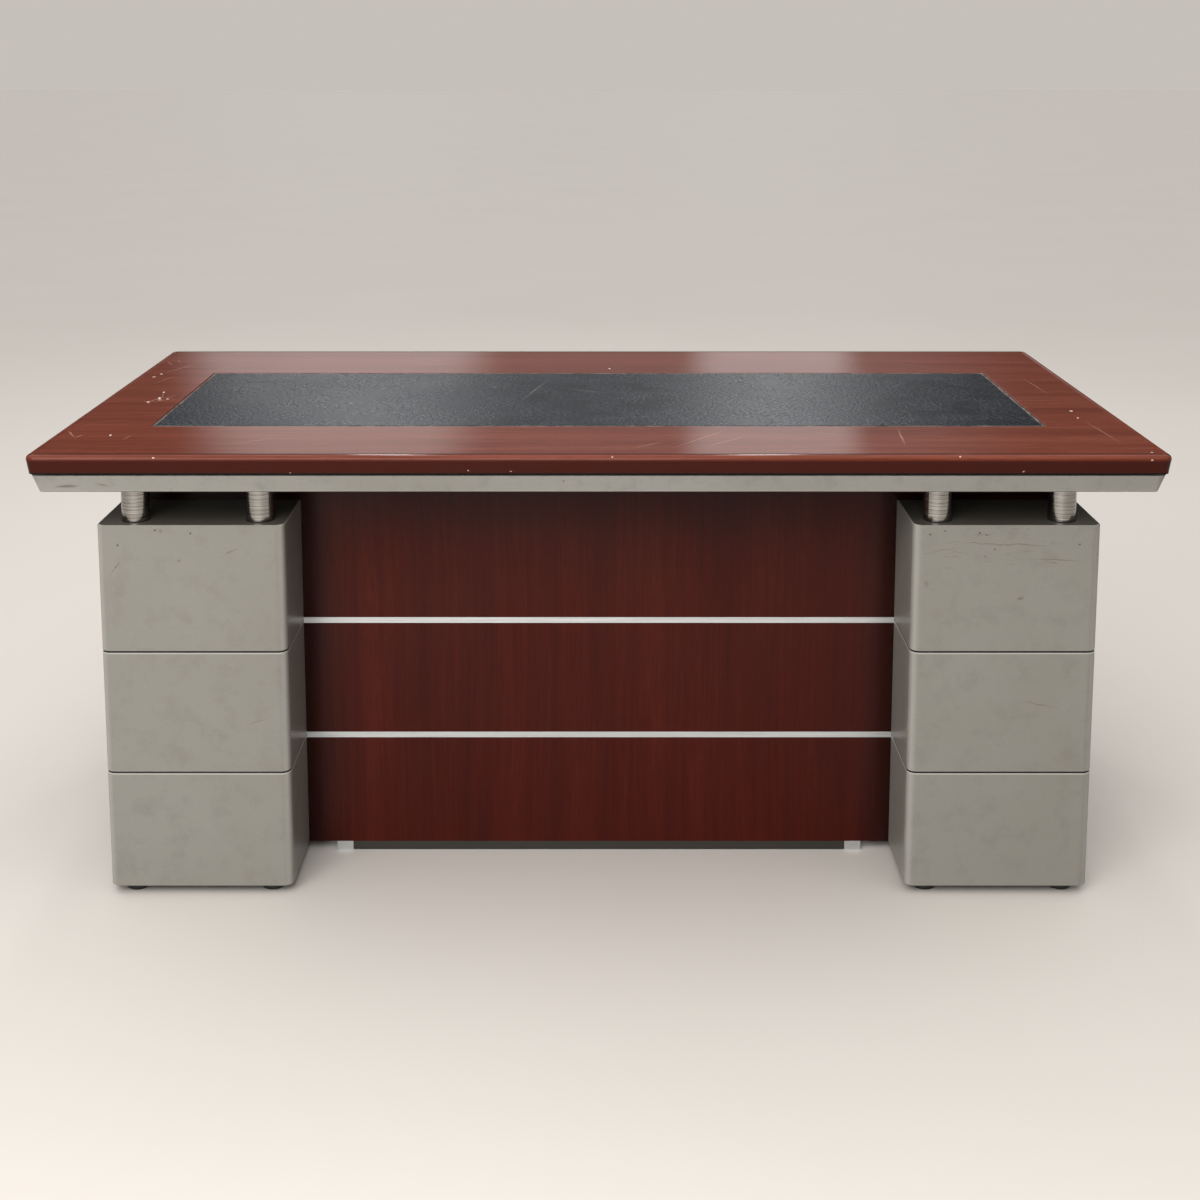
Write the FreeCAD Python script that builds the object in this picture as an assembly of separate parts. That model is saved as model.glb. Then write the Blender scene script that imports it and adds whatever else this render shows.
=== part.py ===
import FreeCAD, Part
import math
import os

# An executive desk with two pylons in front and two pedestals behind, in millimetres.
# X runs along the desk, Z is up, the visitor's side faces -Y and the user sits on the +Y side.
# The origin is on the floor, under the middle of the worktop. Left and right are as a visitor sees them.
# Names in capitals are chosen sizes, and names in lower case are worked out from them.

# Whole desk
DESK_WIDTH = 1800.0
DESK_DEPTH = 950.0
DESK_HEIGHT = 760.0

# Worktop: a veneered panel inside a moulded lipping, with a V-groove behind the round nose
TOP_THICKNESS = 31.0
TOP_CORNER_RADIUS = 15.0
LIPPING_WIDTH = 40.0
LIPPING_NOSE_RADIUS = 8.0
LIPPING_LEAN = 4.0
NOSE_GROOVE_INSET = 11.0
NOSE_GROOVE_WIDTH = 4.5
NOSE_GROOVE_DEPTH = 2.2

# Leather writing surface in a recess, with a channel round it that holds a thin bead
INLAY_SIDE_MARGIN = 144.0
INLAY_FRONT_MARGIN = 213.0
INLAY_BACK_MARGIN = 252.0
INLAY_THICKNESS = 2.0
INLAY_ARRIS = 0.8
EDGING_CHANNEL = 8.0
EDGING_WIDTH = 4.0
EDGING_ARRIS = 1.2

# Shadow gap and apron under the worktop
SHADOW_GAP = 3.0
SHADOW_STRIP_WIDTH = 30.0
SHADOW_STRIP_SETBACK = 24.0
APRON_HEIGHT = 29.0
APRON_INSET = 6.0
APRON_LEAN = 10.0
APRON_ROUND_RADIUS = 4.0
APRON_FOOT_CORNER_RADIUS = 2.0
APRON_RAIL_WIDTH = 70.0
CENTRE_RAIL_DEPTH = 45.0

# Turned standoffs that carry the worktop over the pylons, with a gasket at each end and a stud inside
STANDOFF_DIAMETER = 45.0
STANDOFF_HEIGHT = 66.0
standoff_spacing_share = 0.667
standoff_shift_share = 0.02
STANDOFF_SETBACK = 37.0
GASKET_THICKNESS = 1.5
GASKET_RIM = 0.5
RING_GROOVE_WIDTH = 1.6
RING_GROOVE_DEPTH = 0.8
RING_GROOVE_COUNT = 6
STUD_DIAMETER = 10.0
STUD_ENGAGEMENT = 18.0
FIT_CLEARANCE = 0.2

# Pylons: lacquered boxes of three stacked bands
PYLON_SIDE_RECESS = 90.0
PYLON_FRONT_RECESS = 60.0
PYLON_WIDTH = 303.0
PYLON_DEPTH = 160.0
PYLON_WALL = 18.0
PYLON_CORNER_RADIUS = 16.0
BAND_CHAMFER = 2.0
groove_height_shares = (0.322, 0.656)
corner_wall_share = 0.9

# Glides under the pylons and the pedestals
GLIDE_DIAMETER = 40.0
GLIDE_HEIGHT = 14.0
GLIDE_CHAMFER = 2.0
GLIDE_SIDE_INSET = 38.0
GLIDE_END_INSET = 34.0

# Modesty panel between the pylons, with two metal strips let into its face
PANEL_THICKNESS = 18.0
PANEL_FLOOR_GAP = 17.0
STRIP_HEIGHT = 10.0
STRIP_LET_IN = 3.0
STRIP_PROUD = 0.6

# Plinth under the modesty panel: a rail between two end feet
PLINTH_END_SPACE = 15.0
PLINTH_FLOOR_GAP = 1.0
PLINTH_SETBACK = 2.0
PLINTH_DEPTH = 14.0
PLINTH_FOOT_LENGTH = 28.0
PLINTH_FOOT_PROUD = 1.0

# Pedestals on the user's side: drawers on the left, a cupboard on the right
PEDESTAL_SIDE_RECESS = 100.0
PEDESTAL_USER_RECESS = 65.0
PEDESTAL_WIDTH = 327.0
BOARD_THICKNESS = 18.0
FRONT_THICKNESS = 18.0
FRONT_JOINT = 3.0
FRONT_CLEARANCE = 3.0

# Drawers
drawer_front_shares = (0.22, 0.33, 0.45)
DRAWER_WALL = 12.0
DRAWER_BOTTOM_THICKNESS = 6.0
DRAWER_BOTTOM_LIFT = 8.0
DRAWER_HEADROOM = 30.0
DRAWER_FOOTROOM = 25.0

# Telescopic slides: a fixed channel, a middle channel and a drawer channel, one inside the other
SLIDE_SPACE = 12.7
SLIDE_HEIGHT = 45.0
SLIDE_METAL = 1.2
SLIDE_PLAY = 0.4
BALL_RACE = 3.0
SLIDE_FRONT_SETBACK = 5.0
SLIDE_BACK_SPACE = 142.0

# Bar handles
HANDLE_LENGTH = 160.0
HANDLE_POST_SPACING = 128.0
HANDLE_POST_DIAMETER = 8.0
HANDLE_BAR_WIDTH = 12.0
HANDLE_BAR_THICKNESS = 10.0
HANDLE_BAR_ARRIS = 1.5
HANDLE_REACH = 20.0
DOOR_HANDLE_INSET = 36.0
DOOR_HANDLE_DROP = 150.0

# Butt hinges of the cupboard door
HINGE_HEIGHT = 64.0
HINGE_LEAF_REACH = 15.0
HINGE_END_SPACE = 80.0
HINGE_PLAY = 0.2
KNUCKLE_RADIUS = 3.5
KNUCKLE_STANDOUT = 0.6
HINGE_PIN_RADIUS = 1.6
HINGE_PIN_CLEARANCE = 0.05
knuckle_shares = (0.3, 0.4, 0.3)

# Cupboard shelf on four pins
SHELF_THICKNESS = 18.0
SHELF_PLAY = 0.8
SHELF_FRONT_SETBACK = 22.0
SHELF_PIN_DIAMETER = 6.0
SHELF_PIN_EMBEDDED = 10.0
SHELF_PIN_PROUD = 12.0
SHELF_PIN_INSET = 60.0
shelf_height_share = 0.5

# Overrun of every cutting tool past the face it cuts
CUT_OVERRUN = 5.0

LEFT = -1
RIGHT = 1

# Levels
half_width = DESK_WIDTH / 2
half_depth = DESK_DEPTH / 2
top_underside = DESK_HEIGHT - TOP_THICKNESS
apron_top = top_underside - SHADOW_GAP
apron_bottom = apron_top - APRON_HEIGHT
pylon_bottom = GLIDE_HEIGHT
pylon_top = apron_bottom - STANDOFF_HEIGHT
pylon_height = pylon_top - pylon_bottom
groove_levels = [pylon_bottom + share * pylon_height for share in groove_height_shares]

# Places along X, all on the right-hand half of the desk
pylon_outer_x = half_width - PYLON_SIDE_RECESS
pylon_inner_x = pylon_outer_x - PYLON_WIDTH
pylon_middle_x = (pylon_outer_x + pylon_inner_x) / 2
standoff_middle_x = pylon_middle_x - standoff_shift_share * PYLON_WIDTH
pedestal_outer_x = half_width - PEDESTAL_SIDE_RECESS
pedestal_inner_x = pedestal_outer_x - PEDESTAL_WIDTH
room_outer_x = pedestal_outer_x - BOARD_THICKNESS
room_inner_x = pedestal_inner_x + BOARD_THICKNESS
apron_inner_x = half_width - APRON_INSET - APRON_RAIL_WIDTH
cross_rail_inner_x = min(pedestal_inner_x, pylon_inner_x)

# Places along Y
pylon_front_y = -half_depth + PYLON_FRONT_RECESS
panel_front_y = pylon_front_y + PYLON_DEPTH
panel_back_y = panel_front_y + PANEL_THICKNESS
pedestal_user_y = half_depth - PEDESTAL_USER_RECESS
front_back_y = pedestal_user_y + FRONT_CLEARANCE
front_face_y = front_back_y + FRONT_THICKNESS
apron_inner_y = half_depth - APRON_INSET - APRON_RAIL_WIDTH
standoff_y = pylon_front_y + STANDOFF_SETBACK
slide_front_y = pedestal_user_y - SLIDE_FRONT_SETBACK
slide_back_y = panel_back_y + SLIDE_BACK_SPACE

# Pedestal fronts
fronts_bottom = pylon_bottom + FRONT_JOINT
fronts_top = apron_bottom - FRONT_JOINT
fronts_inner_x = pedestal_inner_x + FRONT_JOINT / 2
fronts_outer_x = pedestal_outer_x - FRONT_JOINT / 2
fronts_middle_x = (fronts_inner_x + fronts_outer_x) / 2

# Drawer channels, measured from the pedestal's side board towards the drawer
middle_web_start = SLIDE_METAL + SLIDE_PLAY
drawer_lip_start = middle_web_start + SLIDE_METAL + SLIDE_PLAY
middle_slide_height = SLIDE_HEIGHT - 2 * (SLIDE_METAL + BALL_RACE)
drawer_slide_height = middle_slide_height - 2 * (SLIDE_METAL + BALL_RACE)

# Hinge axis, beside the cupboard's outer board
hinge_axis_x = pedestal_outer_x + KNUCKLE_RADIUS + KNUCKLE_STANDOUT
hinge_axis_y = pedestal_user_y + FRONT_CLEARANCE / 2
hinge_leaf_thickness = (FRONT_CLEARANCE - HINGE_PLAY) / 2


def point(x, y, z):
    return FreeCAD.Vector(x, y, z)


def box(xs, ys, zs):
    """A box between two bounds on each axis, given in either order."""
    low = [min(pair) for pair in (xs, ys, zs)]
    high = [max(pair) for pair in (xs, ys, zs)]
    sizes = [b - a for a, b in zip(low, high)]
    return Part.makeBox(sizes[0], sizes[1], sizes[2], point(*low))


def cylinder(radius, start, end):
    """A round bar between two points."""
    start = point(*start)
    along = point(*end) - start
    return Part.makeCylinder(radius, along.Length, start, along)


def around(middle, size):
    """The two bounds of a size about its middle."""
    return middle - size / 2, middle + size / 2


def mirrored(side, bounds):
    """Bounds on the right-hand half, taken to the asked side."""
    return [side * value for value in bounds]


def section(corners, arc_from=None):
    """A face in the XZ plane. The corner at arc_from starts a quarter arc through the next one."""
    places = [point(x, 0, z) for x, z in corners]
    edges = []
    index = 0
    while index < len(places):
        here = places[index]
        if index == arc_from:
            edges.append(Part.Arc(here, places[index + 1], places[index + 2]).toShape())
            index += 2
            continue
        edges.append(Part.LineSegment(here, places[(index + 1) % len(places)]).toShape())
        index += 1
    return Part.Face(Part.Wire(edges))


def lipping_section(reach):
    """Half the worktop's cross section, out to its groove, round nose and leaning face."""
    spare = LIPPING_NOSE_RADIUS * (1 - math.sqrt(0.5))
    groove = reach - NOSE_GROOVE_INSET
    groove_inner, groove_outer = around(groove, NOSE_GROOVE_WIDTH)
    return section([
        (0, top_underside),
        (reach - LIPPING_LEAN, top_underside),
        (reach, DESK_HEIGHT - LIPPING_NOSE_RADIUS),
        (reach - spare, DESK_HEIGHT - spare),
        (reach - LIPPING_NOSE_RADIUS, DESK_HEIGHT),
        (groove_outer, DESK_HEIGHT),
        (groove, DESK_HEIGHT - NOSE_GROOVE_DEPTH),
        (groove_inner, DESK_HEIGHT),
        (0, DESK_HEIGHT),
    ], arc_from=2)


def apron_section(reach):
    """Half the apron's cross section: a face that leans in, and a round lower edge."""
    foot = reach - APRON_LEAN
    spare = APRON_ROUND_RADIUS * (1 - math.sqrt(0.5))
    return section([
        (0, apron_top),
        (reach, apron_top),
        (foot, apron_bottom + APRON_ROUND_RADIUS),
        (foot - spare, apron_bottom + spare),
        (foot - APRON_ROUND_RADIUS, apron_bottom),
        (0, apron_bottom),
    ], arc_from=2)


def moulded_slab(reach_x, reach_y, corner, make_section):
    """A slab whose rim keeps one cross section along its sides and round its corners."""
    up = point(0, 0, 1)
    middle = point(0, 0, 0)
    straight_x = reach_x - corner
    straight_y = reach_y - corner
    pieces = []
    for turn, sign_x, sign_y in ((0, 1, 1), (90, -1, 1), (180, -1, -1), (270, 1, -1)):
        quarter = make_section(corner).revolve(middle, up, 90)
        quarter.rotate(middle, up, turn)
        quarter.translate(point(sign_x * straight_x, sign_y * straight_y, 0))
        pieces.append(quarter)
    for reach, length, turns in ((reach_x, straight_y, (0, 180)), (reach_y, straight_x, (90, 270))):
        for turn in turns:
            half = make_section(reach)
            half.translate(point(0, -length, 0))
            half = half.extrude(point(0, 2 * length, 0))
            half.rotate(middle, up, turn)
            pieces.append(half)
    return pieces[0].fuse(pieces[1:]).removeSplitter()


def mitred_sides(ring, bottom, top):
    """Cut a rectangular ring into its front, back, left and right pieces, mitred at the corners."""
    hip = half_width - half_depth
    far_x = half_width + CUT_OVERRUN
    far_y = half_depth + CUT_OVERRUN
    plans = {
        "front": [(-far_x, -far_y), (far_x, -far_y), (hip, 0), (-hip, 0)],
        "back": [(-far_x, far_y), (far_x, far_y), (hip, 0), (-hip, 0)],
        "left": [(-far_x, -far_y), (-far_x, far_y), (-hip, 0)],
        "right": [(far_x, -far_y), (far_x, far_y), (hip, 0)],
    }
    sides = {}
    for name, corners in plans.items():
        loop = [point(x, y, bottom - CUT_OVERRUN) for x, y in corners]
        wedge = Part.Face(Part.makePolygon(loop + loop[:1]))
        wedge = wedge.extrude(point(0, 0, top - bottom + 2 * CUT_OVERRUN))
        sides[name] = ring.common(wedge).Solids
    return sides


def inset(bounds, distance):
    """Two bounds drawn in by a distance at each end."""
    return bounds[0] + distance, bounds[1] - distance


def ease_upper_edges(board, size, is_eased):
    """Chamfer those edges of a board that lie level with the worktop's face."""
    upper = [edge for edge in board.Edges
             if edge.BoundBox.ZMin > DESK_HEIGHT - size and is_eased(edge.BoundBox)]
    return board.makeChamfer(size, upper)


def edging_beads(outer_x, outer_y, levels):
    """The four beads round the leather: two along the desk, and two between them."""
    inner_x = inset(outer_x, EDGING_WIDTH)
    inner_y = inset(outer_y, EDGING_WIDTH)
    beads = [
        box(outer_x, (outer_y[0], inner_y[0]), levels),
        box(outer_x, (inner_y[1], outer_y[1]), levels),
        box((outer_x[0], inner_x[0]), inner_y, levels),
        box((inner_x[1], outer_x[1]), inner_y, levels),
    ]
    return [ease_upper_edges(bead, EDGING_ARRIS, lambda bounds: bounds.DiagonalLength > 2 * EDGING_WIDTH)
            for bead in beads]


def worktop():
    """The panel, its four lippings, the leather and the beads round it."""
    reach_x = half_width - LIPPING_WIDTH
    reach_y = half_depth - LIPPING_WIDTH
    level = (top_underside, DESK_HEIGHT)
    panel = box((-reach_x, reach_x), (-reach_y, reach_y), level)
    slab = moulded_slab(half_width, half_depth, TOP_CORNER_RADIUS, lipping_section)
    nodes = {"lipping_" + name: solids for name, solids in mitred_sides(slab.cut(panel), *level).items()}

    recess_x = (-half_width + INLAY_SIDE_MARGIN, half_width - INLAY_SIDE_MARGIN)
    recess_y = (-half_depth + INLAY_FRONT_MARGIN, half_depth - INLAY_BACK_MARGIN)
    recess_z = (DESK_HEIGHT - INLAY_THICKNESS, DESK_HEIGHT)
    panel = panel.cut(box(recess_x, recess_y, (recess_z[0], DESK_HEIGHT + CUT_OVERRUN)))
    rim_x = reach_x - INLAY_ARRIS
    panel = ease_upper_edges(panel, INLAY_ARRIS, lambda bounds: bounds.XMin > -rim_x and bounds.XMax < rim_x)
    leather = box(inset(recess_x, EDGING_CHANNEL), inset(recess_y, EDGING_CHANNEL), recess_z)
    margin = (EDGING_CHANNEL - EDGING_WIDTH) / 2
    nodes["top_panel"] = [panel]
    nodes["leather_inlay"] = [ease_upper_edges(leather, INLAY_ARRIS, lambda bounds: True)]
    nodes["inlay_edging"] = edging_beads(inset(recess_x, margin), inset(recess_y, margin), recess_z)
    return nodes


def standoff_places():
    for side in (LEFT, RIGHT):
        for x in around(side * standoff_middle_x, standoff_spacing_share * PYLON_WIDTH):
            yield x, standoff_y


def stud_hole(x, y, bottom, top):
    """The clearance hole of a standoff's stud."""
    return cylinder(STUD_DIAMETER / 2 + FIT_CLEARANCE, (x, y, bottom), (x, y, top))


def apron():
    """The mitred apron, the packing in the shadow gap and the rails that stiffen the worktop."""
    reach_x = half_width - APRON_INSET
    reach_y = half_depth - APRON_INSET
    corner = APRON_FOOT_CORNER_RADIUS + APRON_ROUND_RADIUS + APRON_LEAN
    slab = moulded_slab(reach_x, reach_y, corner, apron_section)
    past = (apron_bottom - CUT_OVERRUN, apron_top + CUT_OVERRUN)
    ring = slab.cut(box((-apron_inner_x, apron_inner_x), (-apron_inner_y, apron_inner_y), past))
    sides = mitred_sides(ring, apron_bottom, apron_top)
    nodes = {"apron_" + name: solids for name, solids in sides.items()}

    strip_x = reach_x - SHADOW_STRIP_SETBACK
    strip_y = reach_y - SHADOW_STRIP_SETBACK
    inner_x = strip_x - SHADOW_STRIP_WIDTH
    inner_y = strip_y - SHADOW_STRIP_WIDTH
    gap = (apron_top, top_underside)
    nodes["shadow_strips"] = [
        box((-strip_x, strip_x), (-strip_y, -inner_y), gap),
        box((-strip_x, strip_x), (inner_y, strip_y), gap),
        box((-strip_x, -inner_x), (-inner_y, inner_y), gap),
        box((inner_x, strip_x), (-inner_y, inner_y), gap),
    ]

    rail_z = (apron_bottom, top_underside)
    middle_y = (panel_front_y + panel_back_y) / 2
    holes = [stud_hole(x, y, apron_bottom - CUT_OVERRUN, apron_bottom + STUD_ENGAGEMENT + FIT_CLEARANCE)
             for x, y in standoff_places()]
    rails = [box((-cross_rail_inner_x, cross_rail_inner_x), around(middle_y, CENTRE_RAIL_DEPTH), rail_z)]
    for side in (LEFT, RIGHT):
        xs = mirrored(side, (cross_rail_inner_x, apron_inner_x))
        rails.append(box(xs, (-apron_inner_y, apron_inner_y), rail_z).cut(holes))
    nodes["under_rails"] = rails
    return nodes


def standoff(x, y):
    """One turned standoff with rings cut round it, and a bore for its stud."""
    radius = STANDOFF_DIAMETER / 2
    bore = STUD_DIAMETER / 2 + FIT_CLEARANCE
    bottom = pylon_top + GASKET_THICKNESS
    top = apron_bottom - GASKET_THICKNESS
    pitch = (top - bottom) / (RING_GROOVE_COUNT + 1)
    outline = [(bore, bottom), (radius, bottom)]
    for ring in range(RING_GROOVE_COUNT):
        middle = bottom + pitch * (ring + 1)
        low, high = around(middle, RING_GROOVE_WIDTH)
        outline += [(radius, low), (radius - RING_GROOVE_DEPTH, middle), (radius, high)]
    outline += [(radius, top), (bore, top)]
    turned = section(outline).revolve(point(0, 0, 0), point(0, 0, 1), 360)
    turned.translate(point(x, y, 0))
    return turned


def gasket(x, y, bottom):
    """The black ring between a standoff and the board that it meets."""
    top = bottom + GASKET_THICKNESS
    disc = cylinder(STANDOFF_DIAMETER / 2 + GASKET_RIM, (x, y, bottom), (x, y, top))
    return disc.cut(stud_hole(x, y, bottom - CUT_OVERRUN, top + CUT_OVERRUN))


def standoffs():
    names = ("standoff_left_outer", "standoff_left_inner", "standoff_right_inner", "standoff_right_outer")
    places = list(standoff_places())
    nodes = {name: [standoff(x, y)] for name, (x, y) in zip(names, places)}
    nodes["standoff_gaskets"] = [gasket(x, y, level) for x, y in places
                                 for level in (pylon_top, apron_bottom - GASKET_THICKNESS)]
    low = pylon_top - PYLON_WALL
    high = apron_bottom + STUD_ENGAGEMENT
    nodes["standoff_studs"] = [cylinder(STUD_DIAMETER / 2, (x, y, low), (x, y, high)) for x, y in places]
    return nodes


def ease_rims(board, is_outer):
    """Chamfer the outer edges at a board's upper and lower ends."""
    ends = (board.BoundBox.ZMin, board.BoundBox.ZMax)
    rims = []
    for edge in board.Edges:
        bounds = edge.BoundBox
        level = any(math.isclose(bounds.ZMin, end) and math.isclose(bounds.ZMax, end) for end in ends)
        if level and is_outer(bounds):
            rims.append(edge)
    return board.makeChamfer(BAND_CHAMFER, rims)


def band(bottom, top):
    """One band of the right-hand pylon: a front board with round corners, and two side boards."""
    back_of_front = pylon_front_y + PYLON_WALL
    ends = (bottom, top)
    front = box((pylon_inner_x, pylon_outer_x), (pylon_front_y, back_of_front), ends)
    corners = [edge for edge in front.Edges
               if edge.BoundBox.ZLength > edge.BoundBox.XLength and edge.BoundBox.YMax < back_of_front]
    front = front.makeFillet(min(PYLON_CORNER_RADIUS, corner_wall_share * PYLON_WALL), corners)
    front = ease_rims(front, lambda bounds: bounds.YMin < back_of_front - BAND_CHAMFER)
    boards = [front]
    depth = (back_of_front, panel_front_y)
    for face_x, inside in ((pylon_inner_x, PYLON_WALL), (pylon_outer_x, -PYLON_WALL)):
        side = box((face_x, face_x + inside), depth, ends)
        boards.append(ease_rims(side, lambda bounds: math.isclose(bounds.Center.x, face_x)))
    return boards


def pylon_deck(bottom, top):
    """A board inside the right-hand pylon, between its front and side boards."""
    xs = (pylon_inner_x + PYLON_WALL, pylon_outer_x - PYLON_WALL)
    return box(xs, (pylon_front_y + PYLON_WALL, panel_front_y), (bottom, top))


def pylons():
    """Both pylons: three bands each, with a top board for the standoffs and a base board."""
    low_groove, high_groove = groove_levels
    holes = [stud_hole(x, y, pylon_top - PYLON_WALL - CUT_OVERRUN, pylon_top + CUT_OVERRUN)
             for x, y in standoff_places()]
    parts = {
        "base": [pylon_deck(pylon_bottom, pylon_bottom + PYLON_WALL)],
        "lower": band(pylon_bottom, low_groove),
        "middle": band(low_groove, high_groove),
        "upper": band(high_groove, pylon_top),
        "top": [pylon_deck(pylon_top - PYLON_WALL, pylon_top).cut(holes)],
    }
    nodes = {}
    for name, boards in parts.items():
        nodes["pylon_right_" + name] = boards
        nodes["pylon_left_" + name] = [board.mirror(point(0, 0, 0), point(1, 0, 0)) for board in boards]
    return nodes


def glides():
    """Screw-on glides at the pylons' front corners and at the pedestals' user side."""
    spots = [(pylon_inner_x + GLIDE_SIDE_INSET, pylon_front_y + GLIDE_END_INSET),
             (pylon_outer_x - GLIDE_SIDE_INSET, pylon_front_y + GLIDE_END_INSET),
             (pedestal_inner_x + GLIDE_SIDE_INSET, pedestal_user_y - GLIDE_END_INSET),
             (pedestal_outer_x - GLIDE_SIDE_INSET, pedestal_user_y - GLIDE_END_INSET)]
    feet = []
    for side in (LEFT, RIGHT):
        for x, y in spots:
            foot = cylinder(GLIDE_DIAMETER / 2, (side * x, y, 0), (side * x, y, GLIDE_HEIGHT))
            rim = [edge for edge in foot.Edges if edge.BoundBox.ZMax < GLIDE_CHAMFER]
            feet.append(foot.makeChamfer(GLIDE_CHAMFER, rim))
    return {"glides": feet}


def panel_plinth():
    """The rail under the modesty panel, and the foot at each end of it."""
    face_y = panel_front_y + PLINTH_SETBACK
    back_y = face_y + PLINTH_DEPTH
    end_x = pedestal_inner_x - PLINTH_END_SPACE
    foot_x = end_x - PLINTH_FOOT_LENGTH
    solids = [box((-foot_x, foot_x), (face_y, back_y), (PLINTH_FLOOR_GAP, PANEL_FLOOR_GAP))]
    for side in (LEFT, RIGHT):
        xs = mirrored(side, (foot_x, end_x))
        solids.append(box(xs, (face_y - PLINTH_FOOT_PROUD, back_y), (0, PANEL_FLOOR_GAP)))
    return solids


def modesty_panel():
    """The upright panel behind the pylons, its plinth, and the strips level with the pylons' grooves."""
    panel = box((-pedestal_outer_x, pedestal_outer_x), (panel_front_y, panel_back_y),
                (PANEL_FLOOR_GAP, apron_bottom))
    reach = pylon_inner_x - FIT_CLEARANCE
    bed_y = panel_front_y + STRIP_LET_IN
    strips = []
    for level in groove_levels:
        seat = around(level, STRIP_HEIGHT)
        panel = panel.cut(box((-reach, reach), (panel_front_y - CUT_OVERRUN, bed_y), seat))
        strips.append(box((-reach, reach), (panel_front_y - STRIP_PROUD, bed_y), seat))
    return {"modesty_panel": [panel], "panel_strips": strips, "panel_plinth": panel_plinth()}


def shelf_pin_places():
    """Where the shelf's pins leave the cupboard's side boards: the face, the way in, and Y."""
    low = panel_back_y + SHELF_PIN_INSET
    high = pedestal_user_y - SHELF_PIN_INSET
    for face_x, inward in ((room_inner_x, 1), (room_outer_x, -1)):
        for y in (low, high):
            yield face_x, inward, y


def shelf_level():
    """The underside of the shelf, at its share of the cupboard's inner height."""
    floor = pylon_bottom + BOARD_THICKNESS
    ceiling = apron_bottom - BOARD_THICKNESS
    return floor + shelf_height_share * (ceiling - floor)


def shelf_pin(face_x, inward, y, spare):
    """A shelf pin, or with some spare the hole that it sits in."""
    radius = SHELF_PIN_DIAMETER / 2 + spare
    z = shelf_level() - SHELF_PIN_DIAMETER / 2
    start = face_x - inward * (SHELF_PIN_EMBEDDED + spare)
    return cylinder(radius, (start, y, z), (face_x + inward * SHELF_PIN_PROUD, y, z))


def pedestal(side):
    """The side boards and the upper and lower decks of one pedestal."""
    depth = (panel_back_y, pedestal_user_y)
    height = (pylon_bottom, apron_bottom)
    inner = mirrored(side, (pedestal_inner_x, room_inner_x))
    outer = mirrored(side, (room_outer_x, pedestal_outer_x))
    room = mirrored(side, (room_inner_x, room_outer_x))
    boards = [box(inner, depth, height), box(outer, depth, height)]
    decks = [box(room, depth, (pylon_bottom, pylon_bottom + BOARD_THICKNESS)),
             box(room, depth, (apron_bottom - BOARD_THICKNESS, apron_bottom))]
    return boards, decks


def bar_handle(middle_x, middle_z, upright):
    """A bar on two posts, standing off a front's face."""
    bar_y = front_face_y + HANDLE_REACH
    depth = (bar_y, bar_y + HANDLE_BAR_THICKNESS)
    long_x, long_z = (HANDLE_BAR_WIDTH, HANDLE_LENGTH) if upright else (HANDLE_LENGTH, HANDLE_BAR_WIDTH)
    bar = box(around(middle_x, long_x), depth, around(middle_z, long_z))
    face = [edge for edge in bar.Edges if edge.BoundBox.YMin > bar_y]
    solids = [bar.makeChamfer(HANDLE_BAR_ARRIS, face)]
    for shift in around(0, HANDLE_POST_SPACING):
        x, z = (middle_x, middle_z + shift) if upright else (middle_x + shift, middle_z)
        solids.append(cylinder(HANDLE_POST_DIAMETER / 2, (x, front_face_y, z), (x, bar_y, z)))
    return solids


def channel(web, lip_end, middle_z, height):
    """A pressed steel channel: its web lies between two X bounds, and its lips reach to lip_end."""
    depth = (slide_back_y, slide_front_y)
    low, high = around(middle_z, height)
    web_board = box(web, depth, (low, high))
    lips = [box((web[0], lip_end), depth, (low, low + SLIDE_METAL)),
            box((web[0], lip_end), depth, (high - SLIDE_METAL, high))]
    return web_board.fuse(lips).removeSplitter()


def slide_channels(face_x, inward, middle_z):
    """The fixed, middle and drawer channels of one slide on a side board's face."""
    def at(distance):
        return face_x + inward * distance

    lip_end = at(SLIDE_SPACE - SLIDE_METAL - SLIDE_PLAY)
    fixed = channel((at(0), at(SLIDE_METAL)), lip_end, middle_z, SLIDE_HEIGHT)
    middle = channel((at(middle_web_start), at(middle_web_start + SLIDE_METAL)), lip_end, middle_z,
                     middle_slide_height)
    moving = channel((at(SLIDE_SPACE), at(SLIDE_SPACE - SLIDE_METAL)), at(drawer_lip_start), middle_z,
                     drawer_slide_height)
    return fixed, middle, moving


def drawer_box(bottom, top):
    """The sides, back, inner front and bottom of one drawer, on the left-hand side of the desk."""
    outer = mirrored(LEFT, (room_inner_x + SLIDE_SPACE, room_outer_x - SLIDE_SPACE))
    xs = (min(outer), max(outer))
    inner = (xs[0] + DRAWER_WALL, xs[1] - DRAWER_WALL)
    ys = (slide_back_y, front_back_y)
    clear_y = (ys[0] + DRAWER_WALL, ys[1] - DRAWER_WALL)
    height = (bottom, top)
    floor = bottom + DRAWER_BOTTOM_LIFT
    return [
        box((xs[0], inner[0]), ys, height),
        box((inner[1], xs[1]), ys, height),
        box(inner, (ys[0], clear_y[0]), height),
        box(inner, (clear_y[1], ys[1]), height),
        box(inner, clear_y, (floor, floor + DRAWER_BOTTOM_THICKNESS)),
    ]


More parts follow.
